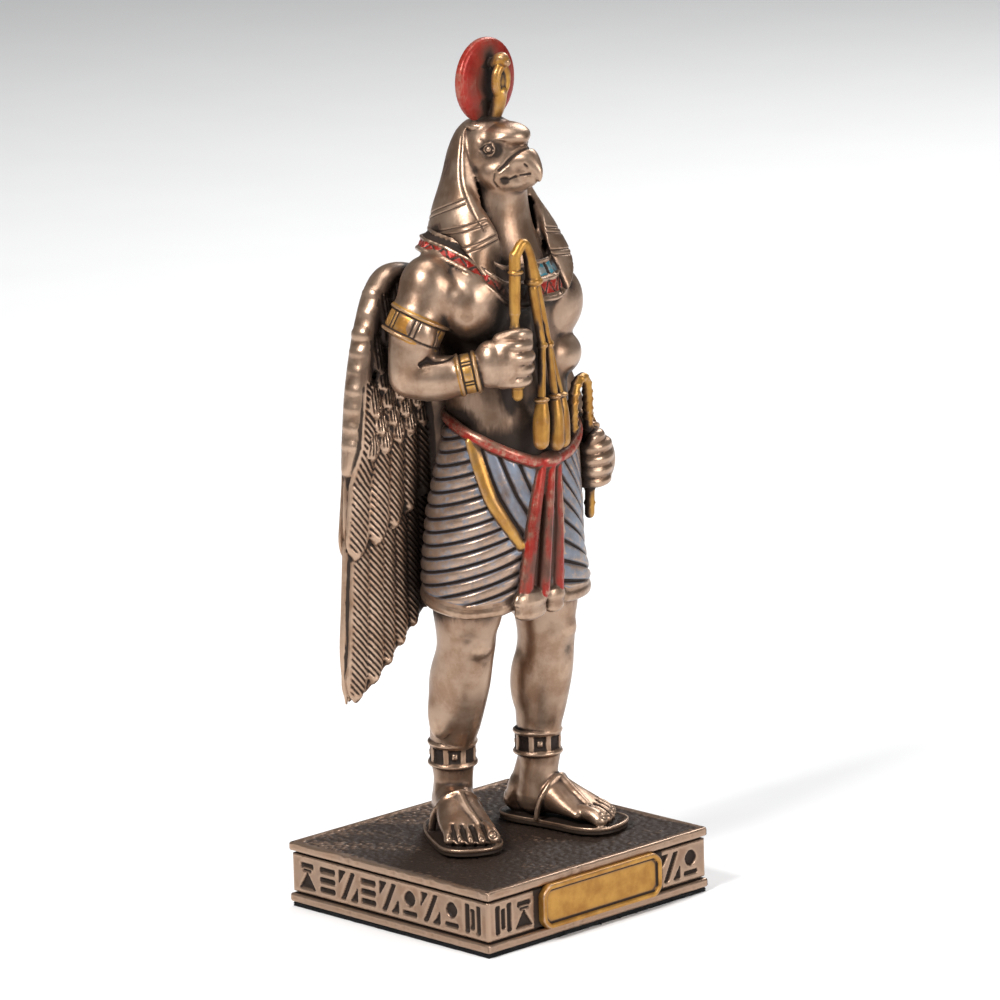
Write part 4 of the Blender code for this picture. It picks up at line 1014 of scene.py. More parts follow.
class Foot:
    """Places on one sandalled foot: a share of its length, a share aside and a height."""

    def __init__(self, side):
        self.heel = Vector((*side["heel"], 0))
        toe = Vector((*side["toe"], 0))
        self.length = (toe - self.heel).length
        self.along = (toe - self.heel).normalized()
        self.across = Vector((0, 0, 1)).cross(self.along) * -side["inner"]
        self.inner = side["inner"]

    def spot(self, share, aside, height):
        """A place on the foot, in the figure's frame."""
        return (self.heel + self.along * (share * self.length)
                + self.across * (aside * self.length) + Vector((0, 0, height)))

    def half_width(self, share, flank):
        """Half the sole's width on its inner or outer flank."""
        wide = 0.175 + 0.095 * share - 0.03 * sin(pi * min(1.0, share / 0.75)) * flank
        return wide * sqrt(max(0.0, 1 - abs(2 * share - 1) ** 5))

    def sole(self):
        """The sandal's sole, with a welt round its edge."""
        outline = []
        for step in range(60):
            angle = 2 * pi * step / 60
            share = 0.5 - 0.5 * cos(angle)
            flank = 1 if sin(angle) >= 0 else -1
            outline.append((share, flank * self.half_width(share, flank)))
        rings = []
        for height, inset in ((0.0, 0.95), (0.12, 1.0), (0.3, 0.985), (0.42, 0.965), (0.55, 1.0),
                              (SOLE, 1.0), (SOLE + 0.06, 0.975), (SOLE, 0.94), (SOLE - 0.1, 0.9)):
            rings.append([self.spot(0.5 + (share - 0.5) * inset, aside * inset, height)
                          for share, aside in outline])
        return skin(rings if self.inner < 0 else [list(reversed(ring)) for ring in rings])

    def flesh(self):
        """The foot, its ankle and its toes."""
        path = [(0.14, 0.0, 1.5, 1.7, 1.5), (0.25, 0.0, 2.7, 2.1, 2.6), (0.42, 0.0, 2.4, 2.3, 2.2),
                (0.60, 0.0, 1.7, 2.7, 1.45), (0.74, 0.01, 1.15, 2.85, 0.95)]
        shells = [rod([(*self.spot(share, aside, height + FOOT_BASE), wide, high)
                       for share, aside, height, wide, high in path], sides=28)]
        shells.append(rod([(*self.spot(0.28, 0, 6.3), 1.7, 1.85), (*self.spot(0.23, 0, 4.2), 1.7, 1.85),
                           (*self.spot(0.17, 0, 2.2), 1.7, 1.8)], up=(0, 1, 0)))
        toes = ((0.138, 0.925, 0.92, 0.75), (0.052, 0.93, 0.64, 0.6), (-0.024, 0.915, 0.62, 0.6),
                (-0.096, 0.885, 0.6, 0.58), (-0.162, 0.845, 0.56, 0.55))
        for aside, tip, size, rise in toes:
            shells.append(rod([(*self.spot(tip - 0.24, aside * 0.8, 1.35 + FOOT_BASE), size * 0.8),
                               (*self.spot(tip - 0.11, aside * 0.95, 1.25 + FOOT_BASE),
                                size * 0.85, size * 0.9),
                               (*self.spot(tip - 0.03, aside, rise + 0.05 + FOOT_BASE), size, size * 0.85)],
                              sides=16))
        return shells

    def straps(self):
        """Two side straps and one that runs to the toes."""
        crest = self.spot(0.50, 0.0, 4.45 + FOOT_BASE)
        shells = []
        for flank in (-1, 1):
            route = [crest] + [self.spot(share, flank * aside, height + FOOT_BASE)
                               for share, aside, height in STRAP_ROUTE]
            shells.append(rod([(*spot, 0.42, 0.24) for spot in route], up=tuple(self.along), sides=12))
        shells.append(rod([(*crest, 0.36, 0.28), (*self.spot(0.63, 0.03, 3.15 + FOOT_BASE), 0.34, 0.28),
                           (*self.spot(0.79, 0.085, 1.75 + FOOT_BASE), 0.3, 0.28)], sides=12))
        return shells

    def carve(self, cast):
        """Gaps between the toes, their nails, and the dark round the sole: washed dark, with painted shade
        where the foot meets the sole and along the sole's foot.
        """
        for left, right, tip in TOE_GAPS:
            middle = 0.5 * (left + right)
            cast.groove([tuple(self.spot(tip - 0.14, middle * 0.93, 2.0 + FOOT_BASE)),
                         tuple(self.spot(tip - 0.05, middle, 1.3 + FOOT_BASE)),
                         tuple(self.spot(tip + 0.02, middle, 0.5 + FOOT_BASE))], 0.2, 0.26, 1.0)
        for aside, tip, size in ((0.138, 0.93, 0.42), (0.052, 0.935, 0.28), (-0.024, 0.92, 0.28),
                                 (-0.096, 0.89, 0.27), (-0.162, 0.85, 0.25)):
            centre = self.spot(tip - 0.005, aside, 1.25 + FOOT_BASE)
            nail = circle(centre, self.across, self.along + Vector((0, 0, -0.6)), size, size * 1.1, 14)
            cast.groove(nail, 0.09, 0.07, 0.7)
        away = cast.spots - np.array(self.heel)
        share = away @ np.array(self.along) / self.length
        aside = away @ np.array(self.across) / self.length
        edge = np.array([self.half_width(part, 1 if side > 0 else -1)
                         for part, side in zip(np.clip(share, 0, 1), aside)])
        # Painted shade, with dark washes, where the foot meets the sole and along the sole's lowest edge
        inside = ramp(0.92 * edge - np.abs(aside), 0.015) * (share > 0.03) * (share < 0.97)
        low = ramp(SOLE + 0.45 - cast.spots[:, 2], 0.3) * (cast.spots[:, 2] > 0.5)
        cast.mark(ink=inside * low * 0.95)
        cast.mark(ink=0.8 * ramp(0.55 - cast.spots[:, 2], 0.1))


# Wings: a thick rim, small overlapping coverts and two tiers of long feathers

WING_DEPTH = 5.9        # how far behind the figure's middle the wings' sheet lies
WING_EDGE = [(15.5, 17.2), (16.6, 17.6), (19.0, 17.8), (22.0, 17.7), (32.0, 16.8), (41.0, 16.2),
             (48.0, 15.3), (54.0, 13.9), (58.0, 12.0), (60.6, 9.0)]
FAR_WING = 0.9          # the far wing's width as a share of the near one's
THIN_DEPTH = WING_DEPTH + 0.9
BARB_PITCH, COVERT_PITCH = 0.69, 0.4


def wing_edge(height):
    """How far out the wing reaches at a height."""
    return between(WING_EDGE, height)[1]


def wing_top(out):
    """The height of the wing's upper edge, a little inside its rim, so far out."""
    height = 59.0
    while height > 16.0 and wing_edge(height) < out + 1.2:
        height -= 0.25
    return height


def plume(root, tip, width, thick, face, lift=0.25):
    """A feather: flat, with a rounded tip that stands a little off what lies under it."""
    root, tip = Vector(root), Vector(tip)
    away = Vector((0, face, 0))
    length = (tip - root).length
    round_off = min(0.45, (0.9 if length > 6 else 0.5) * width / length)
    rows = []
    for share in (0, 0.3, 0.6, 1 - round_off, 1 - 0.7 * round_off, 1 - 0.4 * round_off,
                  1 - 0.18 * round_off, 1 - 0.05 * round_off):
        fall = max(0.0, (share - (1 - round_off)) / round_off)
        half = 0.5 * width * sqrt(max(0.02, 1 - fall ** 2))
        spot = root.lerp(tip, share) + away * lift * share
        rows.append((*spot, half * (0.9 + 0.1 * min(1.0, 3 * share)), thick))
    return rod(rows, up=away, sides=12, steps=1, ends=1)


def feathers(face):
    """The feathers of one wing on its front, face -1, or its back, face 1."""
    found = []
    plane = WING_DEPTH + face * 0.55

    def lay(kind, root, foot, layer, foot_layer, width, thick, lift=0.25):
        root = (-root[0], plane + face * layer, root[1])
        foot = (-foot[0], plane + face * foot_layer, foot[1])
        found.append({"kind": kind, "root": root, "tip": foot, "width": width, "face": face,
                      "shell": plume(root, foot, width, thick, face, lift)})

    for index in range(6):
        share = (index + 0.5) / 6
        lay("long", (5.0 + 10.0 * share, 40.0), (4.9 + 12.4 * share, 25.4 - 9.6 * share), 0.0, 0.0,
            2.5, 0.7)
    for index in range(5):
        share = (index + 0.5) / 5
        lay("long", (4.6 + 9.8 * share, 49.0), (5.0 + 12.0 * share, 37.2 - 6.4 * share), 0.35, 0.5,
            2.7, 0.75)
    for row in range(8):
        level = 43.2 + 2.1 * row
        reach = wing_edge(level) - 1.5
        across = max(2, int((reach - 2.0) / 1.95))
        shift = 0.5 * (row % 2)
        for index in range(across):
            out = reach - (index + shift + 0.3) * 1.95
            foot_z = level - 0.30 * (out - 8.0)
            root_z = min(foot_z + 3.4, wing_top(out))
            if out < 2.0 or root_z < foot_z + 1.5:
                continue
            lay("covert", (out, root_z), (out + 0.2, foot_z), 0.55, 0.8, 1.95, 0.5, 0.35)
    return found


def wing_shells():
    """The right wing's sheet and rim, folded behind the figure."""
    outline = []
    for height in (17.2, 19.0, 22.0, 25.0, 28.0, 34.0, 40.0, 46.0, 51.0, 55.0, 58.0):
        reach = wing_edge(height) - 0.9
        inner = max(2.0, 14.8 - 1.32 * (height - 17.2))
        outline.append((height, -0.5 * (reach + inner), WING_DEPTH, 0.5 * (reach - inner), 0.8))
    shells = [column(outline, sides=24, power=4.0, steps=3)]
    rim_rows = []
    for height in (40.5, 44.0, 48.0, 52.0, 55.5, 58.2):
        rim_rows.append((-wing_edge(height) + 0.85, WING_DEPTH, height, 1.05, 1.5))
    rim_rows += [(-9.0, WING_DEPTH - 0.1, 59.6, 1.1, 1.45), (-6.2, WING_DEPTH - 0.6, 59.2, 1.1, 1.35),
                 (-3.2, WING_DEPTH - 1.2, 57.2, 1.0, 1.2)]
    shells.append(rod(rim_rows, up=(0, 1, 0), sides=20))
    for lower, upper in ((16.4, 33.0), (31.9, 42.0)):
        rows = []
        for share in (0, 0.3, 0.6, 1.0):
            height = lower + (upper - lower) * share
            taper = min(1.0, 0.35 + 2.2 * share)
            rows.append((-wing_edge(height) + 0.45, WING_DEPTH, height, 0.45 * taper, 0.7 * taper))
        shells.append(rod(rows, up=(0, 1, 0)))
    for knot in range(9):
        height = 43.0 + 1.85 * knot
        shells.append(ball((-wing_edge(height) + 0.5, WING_DEPTH, height), (0.85, 1.3, 1.15), sides=20))
    shells.append(column([(27.0, -2.4, 4.6, 2.6, 1.4), (34.0, -2.4, 4.2, 3.0, 2.0),
                          (44.0, -2.4, 3.8, 3.2, 2.0), (52.0, -2.8, 4.2, 3.6, 2.0),
                          (58.5, -2.6, 3.8, 2.8, 1.6)], sides=24))
    return shells


def thin_edges(cast):
    """Draws the long feathers' outer edges in to a thin one."""
    x, y, z = cast.spots.T
    from_edge = np.interp(z, *zip(*WING_EDGE)) - np.where(x < 0, -x, x / FAR_WING)
    thin = 1 - 0.6 * np.clip(1 - from_edge / 4.5, 0, 1) * ramp(43.0 - z, 4.0)
    cast.spots[:, 1] = THIN_DEPTH + (y - THIN_DEPTH) * thin


def carve_feathers(cast, listed):
    """Barbs, quills and dark edges, in each feather's own directions."""
    owner = [number for number, feather in enumerate(listed) for _ in feather["shell"][1]]
    tree = BVHTree.FromPolygons(*joined([feather["shell"] for feather in listed]))
    found = np.full(len(cast.spots), -1)
    for index, spot in enumerate(cast.spots):
        face = tree.find_nearest(spot, 0.35)[2]
        if face is not None:
            found[index] = owner[face]
    for number, feather in enumerate(listed):
        mine = np.where(found == number)[0]
        if not len(mine):
            continue
        root, tip = np.array(feather["root"]), np.array(feather["tip"])
        aim = (tip - root) / np.linalg.norm(tip - root)
        side = np.cross(aim, np.array([0, feather["face"], 0]))
        side /= np.linalg.norm(side)
        gap = cast.spots[mine] - root
        along, across = gap @ aim, gap @ side
        half = 0.5 * feather["width"]
        facing = np.clip(cast.normals[mine][:, 1] * feather["face"] * 2.2 - 0.7, 0, 1)
        inside = ramp(half * 0.82 - np.abs(across), 0.22)
        if feather["kind"] == "long":
            lean = across * (1 if feather["root"][0] < 0 else -1)
            phase = (along + lean) / BARB_PITCH
            plain_tip = 0.45
        else:
            phase = across / COVERT_PITCH + 0.5
            plain_tip = 0.3
        inside *= ramp(np.linalg.norm(tip - root) - plain_tip - along, 0.3)
        line = bell(np.abs(phase - np.round(phase)), 0.24) * inside * facing
        cast.mark(depth=line * 0.24, ink=line * 0.95, where=mine)
        cast.mark(ink=ramp(np.abs(across) - half * 0.93, 0.1) * facing * 0.9, where=mine)


# Materials

class Value:
    """A socket, or a number, that shader maths can be written on."""

    def __init__(self, tree, socket):
        self.tree = tree
        self.socket = socket

    def maths(self, operation, *others):
        node = self.tree.nodes.new("ShaderNodeMath")
        node.operation = operation
        for place, item in zip(node.inputs, (self, *others)):
            if isinstance(item, Value):
                self.tree.links.new(item.socket, place)
            else:
                place.default_value = item
        return Value(self.tree, node.outputs[0])

    def __add__(self, other):
        return self.maths("ADD", other)

    __radd__ = __add__

    def __mul__(self, other):
        return self.maths("MULTIPLY", other)

    __rmul__ = __mul__

    def __sub__(self, other):
        return self.maths("SUBTRACT", other)

    def __rsub__(self, other):
        return (self * -1.0) + other

    def clipped(self):
        return self.maths("MAXIMUM", 0.0).maths("MINIMUM", 1.0)

    def most(self, other):
        return self.maths("MAXIMUM", other)


class Finish:
    """A material and the nodes that its look is written with."""

    def __init__(self, name):
        self.material = bpy.data.materials.new(name)
        self.material.use_nodes = True
        self.tree = self.material.node_tree
        self.shader = self.tree.nodes["Principled BSDF"]
        self.place = self.node("ShaderNodeTexCoord").outputs["Object"]

    def node(self, kind, settings=None, **sockets):
        made = self.tree.nodes.new(kind)
        for name, value in (settings or {}).items():
            setattr(made, name, value)
        for name, value in sockets.items():
            self.feed(made.inputs[name.replace("_", " ")], value)
        return made

    def feed(self, socket, value):
        if isinstance(value, Value):
            self.tree.links.new(value.socket, socket)
        elif hasattr(value, "is_output"):
            self.tree.links.new(value, socket)
        else:
            socket.default_value = value

    def mask(self, name):
        return Value(self.tree, self.node("ShaderNodeAttribute", {"attribute_name": name}).outputs["Fac"])

    def noise(self, scale, detail=4.0, roughness=0.6):
        made = self.node("ShaderNodeTexNoise", Vector=self.place, Scale=scale, Detail=detail,
                         Roughness=roughness)
        return Value(self.tree, made.outputs["Fac"])

    def step(self, value, low, high):
        made = self.node("ShaderNodeMapRange", {"interpolation_type": "SMOOTHSTEP"}, Value=value)
        made.inputs["From Min"].default_value = low
        made.inputs["From Max"].default_value = high
        return Value(self.tree, made.outputs["Result"])

    def mix(self, factor, low, high):
        made = self.node("ShaderNodeMix", {"data_type": "RGBA"})
        self.feed(made.inputs["Factor"], factor)
        first = [socket for socket in made.inputs if socket.type == "RGBA"]
        for socket, colour in zip(first, (low, high)):
            self.feed(socket, (*colour, 1.0) if isinstance(colour, tuple) else colour)
        return [socket for socket in made.outputs if socket.type == "RGBA"][0]

    def bump(self, height, distance, strength=1.0):
        made = self.node("ShaderNodeBump", Height=height, Strength=strength, Distance=distance)
        self.feed(self.shader.inputs["Normal"], made.outputs["Normal"])

    def finish(self, colour, roughness, metallic):
        self.feed(self.shader.inputs["Base Color"], colour)
        self.feed(self.shader.inputs["Roughness"], roughness)
        self.feed(self.shader.inputs["Metallic"], metallic)
        return self.material


class FigurineColours(bpy.types.PropertyGroup):
    bronze: bpy.props.FloatVectorProperty(
        name="Bronze", description="Bare cast finish", subtype="COLOR", default=(0.41, 0.285, 0.205))
    gold: bpy.props.FloatVectorProperty(
        name="Gold", description="Paint of the bands, the flail and the nameplate", subtype="COLOR",
        default=(0.50, 0.265, 0.06))
    red: bpy.props.FloatVectorProperty(
        name="Red", description="Paint of the disc, the belt and the sash", subtype="COLOR",
        default=(0.34, 0.022, 0.014))
    slate: bpy.props.FloatVectorProperty(
        name="Slate", description="Paint brushed over the kilt", subtype="COLOR",
        default=(0.20, 0.235, 0.295))
    teal: bpy.props.FloatVectorProperty(
        name="Teal", description="Paint of the collar's squares", subtype="COLOR",
        default=(0.05, 0.27, 0.36))
    # The near-black of the washes in the hollows, also the colour of the painted shade where other forms
    # hide the figure
    wash_and_shade: bpy.props.FloatVectorProperty(
        name="Dark wash", description="Stain left in the hollows", subtype="COLOR",
        default=(0.022, 0.013, 0.009))


BARE_METAL = 0.86
PAINT_METAL = {"gold": 0.6, "red": 0.25, "slate": 0.3, "teal": 0.2}
PAINT_GLOSS = {"gold": 0.38, "red": 0.32, "slate": 0.42, "teal": 0.35}


def deeper(colour, *shares):
    """A colour with each of its parts brought down to a share."""
    return tuple(part * share for part, share in zip(colour, shares))


def cast_finish(name, paints, wash_and_shade_share=1.0):
    """Bronze washed dark in its hollows, with painted shade where other forms hide it, and bright worn
    edges, painted where masked.

    Paints give, for each mask, how much of the paint is rubbed off the worn edges.
    """
    colours = bpy.context.scene.figurine_colours
    made = Finish(name)
    patches = made.noise(330.0, 5.0, 0.62)
    streaks = made.noise(1100.0, 4.0, 0.65)
    grain = made.noise(2600.0, 3.0, 0.6)
    hollow, worn, ink, shade = (made.mask(kind) for kind in ("hollow", "worn", "ink", "shade"))
    bronze = tuple(colours.bronze)
    colour = made.mix(made.step(patches, 0.36, 0.66), deeper(bronze, 0.66, 0.58, 0.52), bronze)
    metal = BARE_METAL
    gloss = 0.36 + (patches - 0.5) * 0.22
    total = None
    for paint in paints:
        full = tuple(getattr(colours, paint))
        deep = deeper(full, 0.6, 0.5, 0.45)
        edge = made.mask(paint) + (grain - 0.5) * 0.5
        cover = made.step(edge, 0.42, 0.58)
        rubbed = made.step(worn + (streaks - 0.5) * 1.1, 0.5, 0.9) * paints[paint]
        cover = cover * (1.0 - rubbed)
        coat = made.mix(made.step(patches, 0.3, 0.7), deep, full)
        colour = made.mix(cover, colour, coat)
        metal = metal + cover * (PAINT_METAL[paint] - BARE_METAL)
        gloss = gloss + cover * (PAINT_GLOSS[paint] - 0.38)
        total = cover if total is None else total.most(cover)
    bright = made.step(worn + (grain - 0.5) * 0.35, 0.35, 1.0) * 0.5
    if total is not None:
        bright = bright * (1.0 - total * 0.7)
    light = tuple(min(1.0, part * 1.4) for part in bronze)
    colour = made.mix(bright, colour, light)
    # The hollows washed dark, and painted shade where other forms hide a spot, darken the colour together
    hidden = hollow * 0.95 + shade * 1.12 + (patches - 0.5) * 0.45
    brown_and_shade = made.step(hidden, 0.04, 0.55) * 0.78
    colour = made.mix(brown_and_shade, colour, tuple(part * 6 for part in colours.wash_and_shade))
    # Near-black washes in hollows and inked lines, with painted shade added where other forms hide a spot
    stain_and_shade = made.step(hidden, 0.24, 0.8) * wash_and_shade_share
    stain_and_shade = stain_and_shade.most(made.step(ink + (grain - 0.5) * 0.25, 0.2, 0.66))
    colour = made.mix((stain_and_shade * 0.97).clipped(), colour, tuple(colours.wash_and_shade))
    metal = (1.0 - stain_and_shade * 0.85) * metal
    gloss = gloss + stain_and_shade * 0.24 - bright * 0.08
    made.shader.inputs["Specular IOR Level"].default_value = 0.22
    made.bump(grain * 0.5 + patches * 0.9, 0.00006, 0.5)
    return made.finish(colour, gloss.clipped(), metal)


# Pieces of the figure

class FIGURINE_OT_head(bpy.types.Operator):
    """Falcon's head, headcloth, disc and cobra"""
    bl_idname = "figurine.head"
    bl_label = "Head"

    def execute(self, context):
        disc, cobra, seat = crown_shells()
        cast = Casting("figure_head", {"bronze": [*head_shells(), hood_shell(), seat],
                                       "red": [disc], "gold": cobra}, 0.105, 2)
        cast.paint_masks()
        cast.soften(22, (1 - cast.masks["red"]) * (1 - cast.masks["gold"])
                    * np.clip((74.0 - cast.spots[:, 2]) / 1.0, 0.2, 1))
        carve_head(cast)
        carve_hood(cast)
        low = ramp(75.0 - cast.spots[:, 2], 0.3)
        for paint in ("red", "gold"):
            cast.masks[paint] *= 1 - low
        cast.carve()
        complete(cast, "head bronze", {"red": 0.25, "gold": 0.4})
        return {"FINISHED"}


class FIGURINE_OT_body(bpy.types.Operator):
    """Trunk, arms, bands, hands and the broad collar"""
    bl_idname = "figurine.body"
    bl_label = "Body"

    def execute(self, context):
        bands = [shell for band in BANDS.values() for shell in band_shells(*band)]
        fists = [*fist_shells((-5.2, -7.4, 51.5), -1, 4.9, 1.2),
                 *fist_shells((8.4, -5.6, 38.2), 1, 4.9, 1.2)]
        cast = Casting("figure_body", {"bronze": [*body_shells(), *fists], "gold": bands,
                                       "collar": collar_shells()}, 0.135, 2)
        cast.paint_masks()
        plain = (1 - cast.masks["gold"]) * (1 - cast.masks["collar"])
        for grip in ((-6.6, -7.0, 51.5), (9.6, -5.2, 38.2)):
            away = np.linalg.norm(cast.spots - np.array(grip), axis=1)
            plain *= np.clip((away - 3.2) / 0.8, 0.06, 1)
        cast.soften(40, plain)
        for band, cells in zip(BANDS.values(), (7, 7, 6, 6)):
            carve_band(cast, *band, cells)
        self.collar(cast)
        self.muscles(cast)
        cast.carve()
        complete(cast, "body bronze", {"gold": 0.4, "red": 0.25, "teal": 0.25})
        return {"FINISHED"}

    def collar(self, cast):
        """Teal squares in the upper row and red with crossing lines in the lower one."""
        turns, shares = collar_places(cast)
        on_collar = cast.masks.pop("collar")
        cells = turns / 16 + 0.5
        inside = np.abs(cells - np.round(cells))
        square = ramp(0.4 - inside, 0.06)
        row = ramp(shares - 0.58, 0.03) * ramp(0.93 - shares, 0.03)
        cast.masks["teal"] = on_collar * square * row * (turns > 4) * (turns < 50)
        slope = (shares - 0.08) / 0.36
        wedge = np.abs(turns / 13 - np.round(turns / 13))
        edge = np.abs(wedge - 0.5 * (1 - slope) - 0.02)
        row_red = ramp(shares - 0.1, 0.03) * ramp(0.44 - shares, 0.03)
        cut = bell(edge, 0.09) * row_red * on_collar
        gaps = on_collar * row * np.maximum(1 - square, (turns <= 4) | (turns >= 50))
        cast.masks["red"] = on_collar * row_red
        cast.mark(depth=cut * 0.12, ink=cut * 0.7)
        cast.mark(depth=gaps * 0.12, ink=gaps)

    def muscles(self, cast):
        """The crease of the bent elbow, the line down the trunk and the one before the shoulder."""
        elbow = [(-13.4, -1.9, 51.9), (-12.6, -2.3, 52.3), (-11.3, -3.0, 52.4), (-9.7, -3.2, 52.3)]
        trunk = [(0, -6.6, 55.5), (0.1, -6.3, 53.0), (0.1, -6.6, 49.0), (0.1, -7.6, 45.5)]
        shoulder = [(-9.2, -2.2, 60.6), (-8.8, -3.9, 58.6), (-9.0, -4.3, 56.6)]
        cast.groove(elbow, 0.2, 0.4, 1.0)
        cast.groove(trunk, 0.4, 0.22, 0.25, 1.6)
        cast.groove(shoulder, 0.45, 0.15, 0.15, 1.5)


class FIGURINE_OT_regalia(bpy.types.Operator):
    """Flail and crook"""
    bl_idname = "figurine.regalia"
    bl_label = "Flail and crook"

    def execute(self, context):
        cast = Casting("figure_regalia", {"gold": [*flail_shells(), *crook_shells()]}, 0.085, 1)
        cast.masks["gold"] = np.ones(len(cast.spots))
        complete(cast, "regalia gold", {"gold": 0.35})
        return {"FINISHED"}


class FIGURINE_OT_kilt(bpy.types.Operator):
    """Kilt, belt and sash"""
    bl_idname = "figurine.kilt"
    bl_label = "Kilt"

    def execute(self, context):
        skirt, band = kilt_shells()
        cloth, ends = sash_shells()
        cast = Casting("figure_kilt", {"slate": skirt, "gold": band, "red": [*belt_shells(), *cloth],
                                       "bronze": ends}, 0.125, 2)
        cast.paint_masks()
        carve_pleats(cast)
        cast.carve()
        complete(cast, "kilt paint", {"slate": 0.8, "gold": 0.2, "red": 0.6}, 0.6)
        return {"FINISHED"}


class FIGURINE_OT_legs(bpy.types.Operator):
    """Legs, anklets, feet and sandals"""
    bl_idname = "figurine.legs"
    bl_label = "Legs"

    def execute(self, context):
        feet = [Foot(NEAR_FOOT), Foot(FAR_FOOT)]
        shells = leg_shells()
        for foot in feet:
            shells += [foot.sole(), *foot.flesh(), *foot.straps()]
        for band in ANKLETS.values():
            shells += band_shells(*band)
        cast = Casting("figure_legs", {"bronze": shells}, 0.115, 2)
        height = cast.spots[:, 2]
        ankle = 0.35 * ramp(height - 3.4, 0.6) * ramp(6.6 - height, 0.4)
        knee = 1 - 0.5 * np.clip(1 - np.abs(height - 20.5) / 3.5, 0, 1)
        cast.soften(45, ramp(height - 11.3, 1.2) * knee + ankle)
        for foot in feet:
            foot.carve(cast)
        for band in ANKLETS.values():
            carve_windows(cast, *band, 8)
        # Soft hollows under and beside the knees, darkened a little: painted shade
        for spot in ((-4.7, -2.7, 18.9), (5.2, -5.3, 18.9)):
            cast.press(spot, 1.2, 0.3, 0.5)
        for spot in ((-7.1, -1.5, 21.9), (-3.4, -2.4, 21.9), (3.1, -4.2, 21.9), (6.9, -4.3, 21.9)):
            cast.press(spot, 1.0, 0.2, 0.35)
        cast.carve()
        complete(cast, "leg bronze", {})
        return {"FINISHED"}


class FIGURINE_OT_wings(bpy.types.Operator):
    """Folded wings with feathers on both sides"""
    bl_idname = "figurine.wings"
    bl_label = "Wings"

    def execute(self, context):
        listed = [*feathers(-1), *feathers(1)]
        other_side = []
        for feather in listed:
            other = dict(feather)
            for end in ("root", "tip"):
                x, y, z = feather[end]
                other[end] = (-x * FAR_WING, y, z)
            other["shell"] = mirrored(feather["shell"], FAR_WING)
            other_side.append(other)
        shells = wing_shells()
        shells += [mirrored(shell, FAR_WING) for shell in wing_shells()]
        listed += other_side
        cast = Casting("figure_wings", {"bronze": shells + [f["shell"] for f in listed]}, 0.15, 1)
        carve_feathers(cast, listed)
        cast.carve()
        thin_edges(cast)
        cast.write()
        complete(cast, "wing bronze", {}, 1.1)
        return {"FINISHED"}


PIECES = ("figure_head", "figure_body", "figure_regalia", "figure_kilt", "figure_legs", "figure_wings")


SHADE_FACES = 14000     # each piece is sampled on a copy with so few triangles
SHADE_REACH = 0.0045    # forms that lie farther off than this give no shade
SHADE_START = 0.00025
SHADE_LIFT = 0.0012     # keeps the two faces of a thin form apart when shade is spread


class FIGURINE_OT_shade(bpy.types.Operator):
    """Marks how far each spot is hidden by the forms round it, as painted shade that darkens the finish
    along with the washes in the hollows
    """
    bl_idname = "figurine.shade"
    bl_label = "Shade the hollows"

    def execute(self, context):
        rng = np.random.default_rng(5)
        samples = {}
        points, faces = [], []
        for name in PIECES:
            thing = bpy.data.objects[name]
            copy = thing.copy()
            copy.data = thing.data.copy()
            context.scene.collection.objects.link(copy)
            triangles = 2 * len(copy.data.polygons)
            apply_modifier(copy, "DECIMATE", ratio=min(1.0, SHADE_FACES / triangles))
            mesh = copy.data
            start = len(points)
            points += [tuple(vertex.co) for vertex in mesh.vertices]
            faces += [tuple(start + corner for corner in face.vertices) for face in mesh.polygons]
            samples[name] = [(vertex.co.copy(), normal.vector.copy())
                             for vertex, normal in zip(mesh.vertices, mesh.vertex_normals)]
            bpy.data.objects.remove(copy, do_unlink=True)
        tree = BVHTree.FromPolygons(points, faces)
        count = 28
        rays = rng.normal(size=(400, 3))
        rays /= np.linalg.norm(rays, axis=1)[:, None]
        rays = [Vector(ray) for ray in rays]
        for name, spots in samples.items():
            values = []
            for index, (spot, normal) in enumerate(spots):
                hidden = 0.0
                origin = spot + normal * SHADE_START
                for step in range(count):
                    way = (rays[(index * 7 + step * 13) % 400] + normal * 1.02).normalized()
                    away = tree.ray_cast(origin, way, SHADE_REACH)[3]
                    if away is not None:
                        hidden += 1 - away / SHADE_REACH
                values.append(hidden / count)
            nearby = tree_of([spot + normal * SHADE_LIFT for spot, normal in spots])
            mesh = bpy.data.objects[name].data
            shade = np.zeros(len(mesh.vertices), dtype=np.float32)
            for index, vertex in enumerate(mesh.vertices):
                close = nearby.find_n(vertex.co + vertex.normal * SHADE_LIFT, 7)
                shade[index] = weighed(close, values, 0.0003)
            # Painted shade: darker where nearby forms hide the spot
            layer = mesh.attributes.new("shade", "FLOAT", "POINT")
            layer.data.foreach_set("value", np.clip(shade * 1.6, 0, 1))
        return {"FINISHED"}


# Plinth: a stippled block with sunk strokes and a bare nameplate, on a felt pad

PLINTH_SIZE = (PLINTH_HIGH - PLINTH_LOW) / MM
HALF_WIDTH = 0.5 * PLINTH_SIZE.x
HALF_DEPTH = PLINTH_HIGH.y / MM
PLINTH_FOOT, PLINTH_TOP = PLINTH_LOW.z / MM, PLINTH_HIGH.z / MM
PLINTH_MIDDLE = 0.5 * (PLINTH_FOOT + PLINTH_TOP)
SLAB = 0.9
SEAM_WIDTH, SEAM_DEPTH = 0.3, 0.4
WALL_INSET = 0.25
CORNER = 0.3
STROKE, STROKE_DEPTH, STROKE_MARGIN = 0.5, 0.35, 0.6
WOBBLE_STEP = 9         # grid steps from one uneven spot of the block's edge to the next
STIPPLE_PITCH = 0.62
PLATE_LENGTH, PLATE_HEIGHT, PLATE_THICKNESS = 17.2, 4.7, 0.8
PLATE_BORDER, PLATE_RECESS, PLATE_NOTCH = 0.5, 0.35, 0.9


